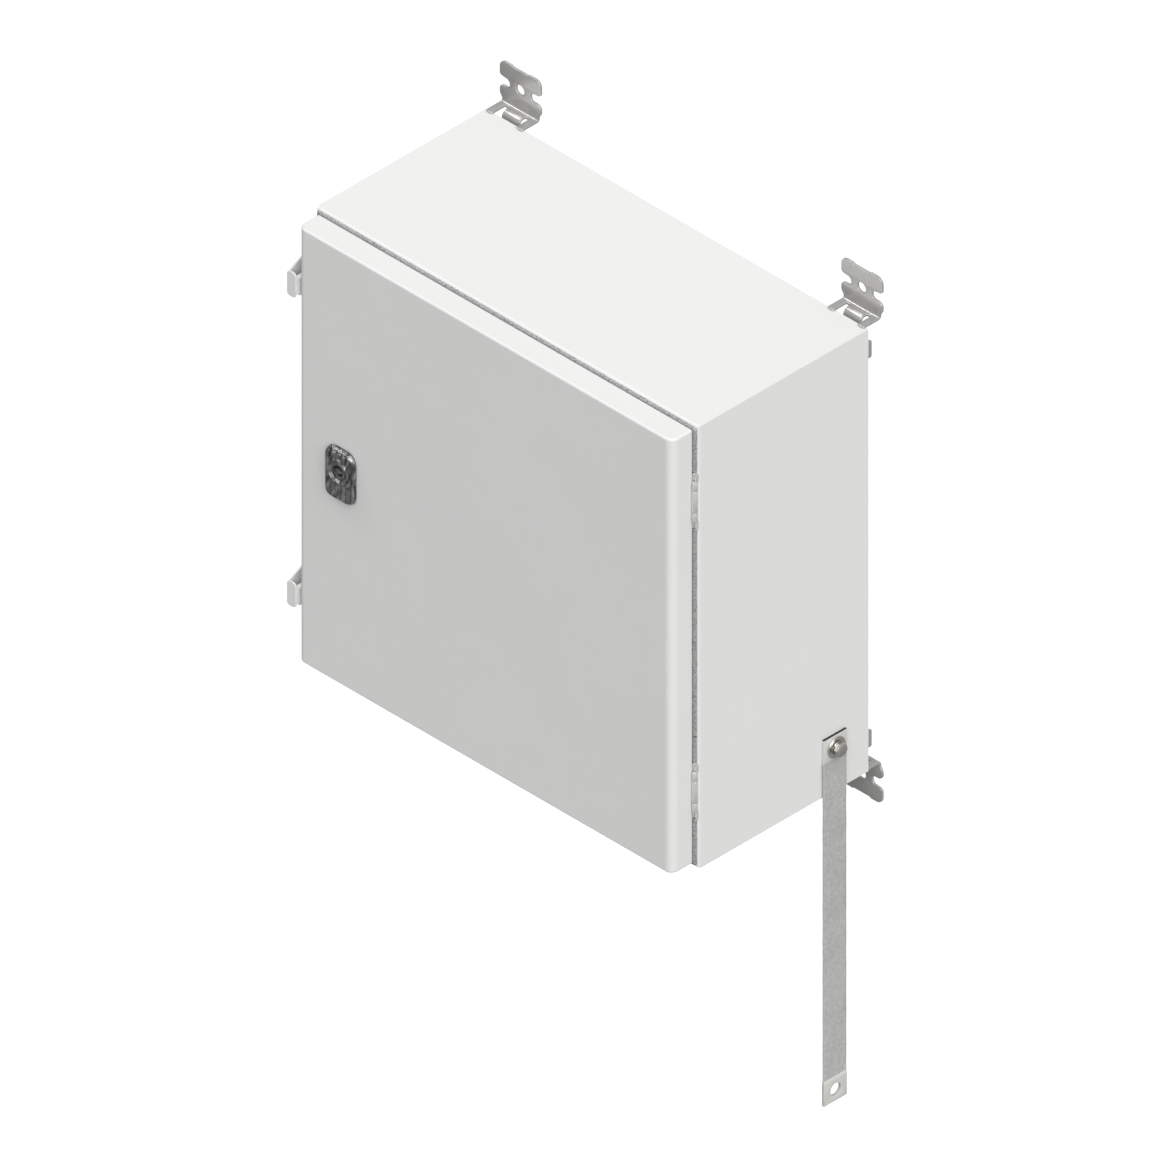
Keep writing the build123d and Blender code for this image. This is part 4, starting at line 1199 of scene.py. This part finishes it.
def screw_mesh(x, y, bottom, top, seat):
    """A pan-head screw with a socket, pointing up."""
    head = seat - bottom
    shank, radius, socket = 2.5 * MM, 4.6 * MM, 1.9 * MM
    angles = np.radians([0, 20, 40, 58])
    dome = [(radius * math.cos(a), head * (0.45 + 0.55 * math.sin(a))) for a in angles]
    profile = [(shank, 0), (radius, 0), *dome, (socket, head)]
    profile += [(socket * 0.8, head * 0.45), (0.1 * MM, head * 0.4)]
    down = facing((x, y, seat), (0, 0, -1), (0, 1, 0))
    up = facing((x, y, seat), (0, 0, 1), (0, 1, 0))
    return joined("screw", [turned(profile, down, 36), threaded(shank, 0.8 * MM, top - seat, up, 16)])


class CABINET_OT_cable_entry(bpy.types.Operator):
    """Makes the cable-entry plate in the underside with its screws"""

    bl_idname = "cabinet.cable_entry"
    bl_label = "Cable entry"

    def execute(self, context):
        sizes = context.scene.cabinet_sizes
        low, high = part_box("entry_plate")
        half_border, corner, hole = 7.5 * MM, 5 * MM, 2.9 * MM
        places = [
            (x, y)
            for x in (low.x + half_border, 0, high.x - half_border)
            for y in (low.y + half_border, high.y - half_border)
        ]
        outlines = [box_outline(high.x - low.x, high.y - low.y, corner, (0, (low.y + high.y) / 2))]
        outlines += [circle(place, hole, 24) for place in places]
        mesh = sheet_mesh(outlines, high.z - low.z, sizes.sheet_edge, Matrix.Translation((0, 0, low.z)))
        piece("entry_plate_punched", mesh, "powder_coat", "entry_plate")
        screw_low, screw_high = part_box("entry_screws")
        screws = [screw_mesh(x, y, screw_low.z, screw_high.z, low.z) for x, y in places]
        plated("entry_screws_cross", screws, "entry_screws")
        return {"FINISHED"}


# Hinges


class CABINET_OT_hinges(bpy.types.Operator):
    """Finishes the two hinges: leaves, pins and rivets"""

    bl_idname = "cabinet.hinges"
    bl_label = "Hinges"

    def execute(self, context):
        edge = context.scene.cabinet_sizes.sheet_edge
        for name in LEVELS:
            for leaf in ("hinge_frame_leaf", "hinge_door_leaf"):
                soften(dress(f"{leaf}_{name}", "bright_zinc"), edge)
            dress(f"hinge_pin_{name}", "bright_zinc")
        low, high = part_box("hinge_rivets")
        radius, head, shank, offset = 2.9 * MM, 0.9 * MM, 1.6 * MM, 16 * MM
        front, back = low.y + head, high.y - head
        dome = [(radius * math.cos(a), head * math.sin(a)) for a in np.radians([0, 15, 35, 60, 85])]
        profile = [(r, front - h) for r, h in dome[::-1]] + [(shank, front), (shank, back)]
        profile += [(r, back + h) for r, h in dome]
        rivets = []
        for name in LEVELS:
            leaf_low, leaf_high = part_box(f"hinge_frame_leaf_{name}")
            for side in SIDES:
                place = ((low.x + high.x) / 2, 0, (leaf_low.z + leaf_high.z) / 2 + side * offset)
                along_y = Matrix.Translation(place) @ Matrix.Rotation(-math.pi / 2, 4, "X")
                rivets.append(turned(profile, along_y, 28))
        plated("hinge_rivets_domed", rivets, "hinge_rivets")
        return {"FINISHED"}


# Lock


def housing_mesh(flute_pitch):
    """The cast housing: a domed, fluted front round the insert and a threaded body behind it."""
    low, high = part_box("lock_housing")
    seal_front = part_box("lock_seal")[0].y
    barrel_low, barrel_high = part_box("lock_barrel")
    centre = (barrel_low + barrel_high) / 2
    clearance = 0.06 * MM
    bore = (barrel_high.x - barrel_low.x) / 2 + clearance
    mouth = 8.6 * MM
    body = 10.0 * MM
    half = (high.x - low.x) / 2
    tall = (high.z - low.z) / 2
    middle = (high.z + low.z) / 2 - centre.z
    crown = 9.2 * MM
    foot = 7.2 * MM
    top, bottom = middle + tall, middle - tall
    corner_points = [(half, top), (-half, top), (-half, bottom), (half, bottom)]
    outline = evenly(rounded(corner_points, [crown, crown, foot, foot], 12), 220)
    angles = [math.atan2(z, x) for x, z in outline]

    def inside(x, z):
        """Distance inwards from the outline."""
        radius = crown if z > middle else foot
        across = abs(x) - half + radius
        up = abs(z - middle) - tall + radius
        return radius - math.hypot(max(across, 0), max(up, 0)) - min(max(across, up), 0)

    def depth(x, z):
        """Depth of the cast front behind its foremost plane."""
        edge, dome, dome_reach, flute_depth = 5.6 * MM, 0.5 * MM, 11 * MM, 2.0 * MM
        lip_radius, lip_width, lip_height = 9.7 * MM, 0.6 * MM, 0.3 * MM
        margin = max(inside(x, z), 0.0)
        reach = math.hypot(x, z)
        drop = edge - math.sqrt(edge**2 - max(edge - margin, 0) ** 2)
        drop += dome * max(0, 1 - margin / dome_reach) ** 2
        flute = 0.5 - 0.5 * math.cos(2 * math.pi * x / flute_pitch)
        open_face = smoothstep(reach, 10.6 * MM, 12.0 * MM) * smoothstep(margin, 1.2 * MM, 2.8 * MM)
        lip = math.exp(-(((reach - lip_radius) / lip_width) ** 2))
        return max(0.0, drop + flute_depth * flute * open_face - lip_height * lip + lip_height)

    def ring(radius, y):
        return [(centre.x + radius * math.cos(a), y, centre.z + radius * math.sin(a)) for a in angles]

    chamfer, thread, thread_depth = 0.8 * MM, 0.75 * MM, 0.55 * MM
    thread_end = high.y - chamfer
    rings = [ring(bore, high.y), ring(body - chamfer, high.y), ring(body, thread_end)]
    turns = int((high.y - seal_front - 4 * MM) / thread)
    for k in range(turns):
        relief = 0.0 if k % 2 else thread_depth
        rings.append(ring(body - relief, thread_end - (k + 0.5) * thread))
    rings.append(ring(body, seal_front))
    rings.append([(centre.x + x * 0.985, seal_front, centre.z + z * 0.985) for x, z in outline])
    rings.append([(centre.x + x, seal_front - 0.3 * MM, centre.z + z) for x, z in outline])
    steps = 46
    for k in range(steps + 1):
        share = (k / steps) ** 1.25
        row = []
        for (x, z), a in zip(outline, angles):
            px = x + (mouth * math.cos(a) - x) * share
            pz = z + (mouth * math.sin(a) - z) * share
            row.append((centre.x + px, low.y + depth(px, pz), centre.z + pz))
        rings.append(row)
    floor = barrel_low.y
    rings += [ring(mouth - 0.2 * MM, low.y + 0.5 * MM), ring(bore + 0.25 * MM, floor - 0.15 * MM)]
    rings.append(ring(bore, floor))
    return ring_mesh(rings, closed=True)


def evenly(outline, count):
    """The closed outline again, with points at equal distances."""
    loop = outline + [outline[0]]
    runs = np.cumsum([0] + [math.dist(a, b) for a, b in zip(loop, loop[1:])])
    places = np.linspace(0, runs[-1], count, endpoint=False)
    return [tuple(np.interp(d, runs, [p[i] for p in loop]) for i in (0, 1)) for d in places]


class CABINET_OT_lock(bpy.types.Operator):
    """Makes the lock's cast housing, and finishes the insert, nut, cam, washer and screw"""

    bl_idname = "cabinet.lock"
    bl_label = "Lock"

    def execute(self, context):
        edge = 0.3 * MM
        mesh = housing_mesh(context.scene.cabinet_sizes.flute_pitch)
        piece("lock_housing_cast", mesh, "die_cast_zinc", "lock_housing", "door", 30)
        soften(dress("lock_barrel", "die_cast_zinc"), edge)
        for node in ("lock_nut", "lock_cam", "cam_washer", "cam_screw"):
            soften(dress(node, "plated_steel"), edge)
        return {"FINISHED"}


# Earth studs


class CABINET_OT_earth_studs(bpy.types.Operator):
    """Makes the welded earth studs and their nuts in the door and the body"""

    bl_idname = "cabinet.earth_studs"
    bl_label = "Earth studs"

    def execute(self, context):
        foot, edge, top = 5 * MM, 0.3 * MM, 1.2 * MM
        foot_profile = [(foot, 0), (foot, top - edge), (foot - edge, top), (M6_RADIUS, top)]
        for owner, body, way in (("door", "door", 1), ("body", "cabinet", -1)):
            stud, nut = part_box(f"{owner}_earth_stud"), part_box(f"{owner}_earth_nut")
            low, high = stud
            nearest = 0 if way > 0 else 1
            x, z = (low.x + high.x) / 2, (low.z + high.z) / 2
            base = facing((x, stud[nearest].y, z), (0, way, 0))
            thread = threaded(M6_RADIUS, M6_PITCH, high.y - low.y, base, 20)
            meshes = [turned(foot_profile, base, 36), thread]
            plated(f"{owner}_earth_stud_threaded", meshes, f"{owner}_earth_stud", body)
            seat = facing((x, nut[nearest].y, z), (0, way, 0))
            mesh = hexagon(M6_FLATS, nut[1].y - nut[0].y, seat, hole=M6_RADIUS, both_ends=True)
            plated(f"{owner}_earth_nut_hex", [mesh], f"{owner}_earth_nut", body)
        return {"FINISHED"}


class CABINET_PT_panel(bpy.types.Panel):
    """Lists the cabinet's pieces in the sidebar"""

    bl_idname = "CABINET_PT_panel"
    bl_label = "Control Cabinet"
    bl_space_type = "VIEW_3D"
    bl_region_type = "UI"
    bl_category = "Cabinet"

    def draw(self, context):
        column = self.layout.column()
        for operator in OPERATORS:
            column.operator(operator.bl_idname)
        for group in (context.scene.cabinet_colours, context.scene.cabinet_sizes):
            for key in group.__annotations__:
                column.prop(group, key)


OPERATORS = (
    CABINET_OT_stage, CABINET_OT_earth_strap, CABINET_OT_earth_bolt, CABINET_OT_painted_sheet,
    CABINET_OT_gaskets, CABINET_OT_wall_brackets, CABINET_OT_mounting_plate, CABINET_OT_cable_entry,
    CABINET_OT_hinges, CABINET_OT_lock, CABINET_OT_earth_studs,
)
CLASSES = (CabinetColours, CabinetSizes, *OPERATORS, CABINET_PT_panel)


def register():
    for cls in CLASSES:
        bpy.utils.register_class(cls)
    bpy.types.Scene.cabinet_colours = bpy.props.PointerProperty(type=CabinetColours)
    bpy.types.Scene.cabinet_sizes = bpy.props.PointerProperty(type=CabinetSizes)


def unregister():
    del bpy.types.Scene.cabinet_sizes
    del bpy.types.Scene.cabinet_colours
    for cls in reversed(CLASSES):
        bpy.utils.unregister_class(cls)


def main():
    register()
    for operator in OPERATORS:
        getattr(bpy.ops.cabinet, operator.bl_idname.split(".")[1])()


if __name__ == "__main__":
    main()
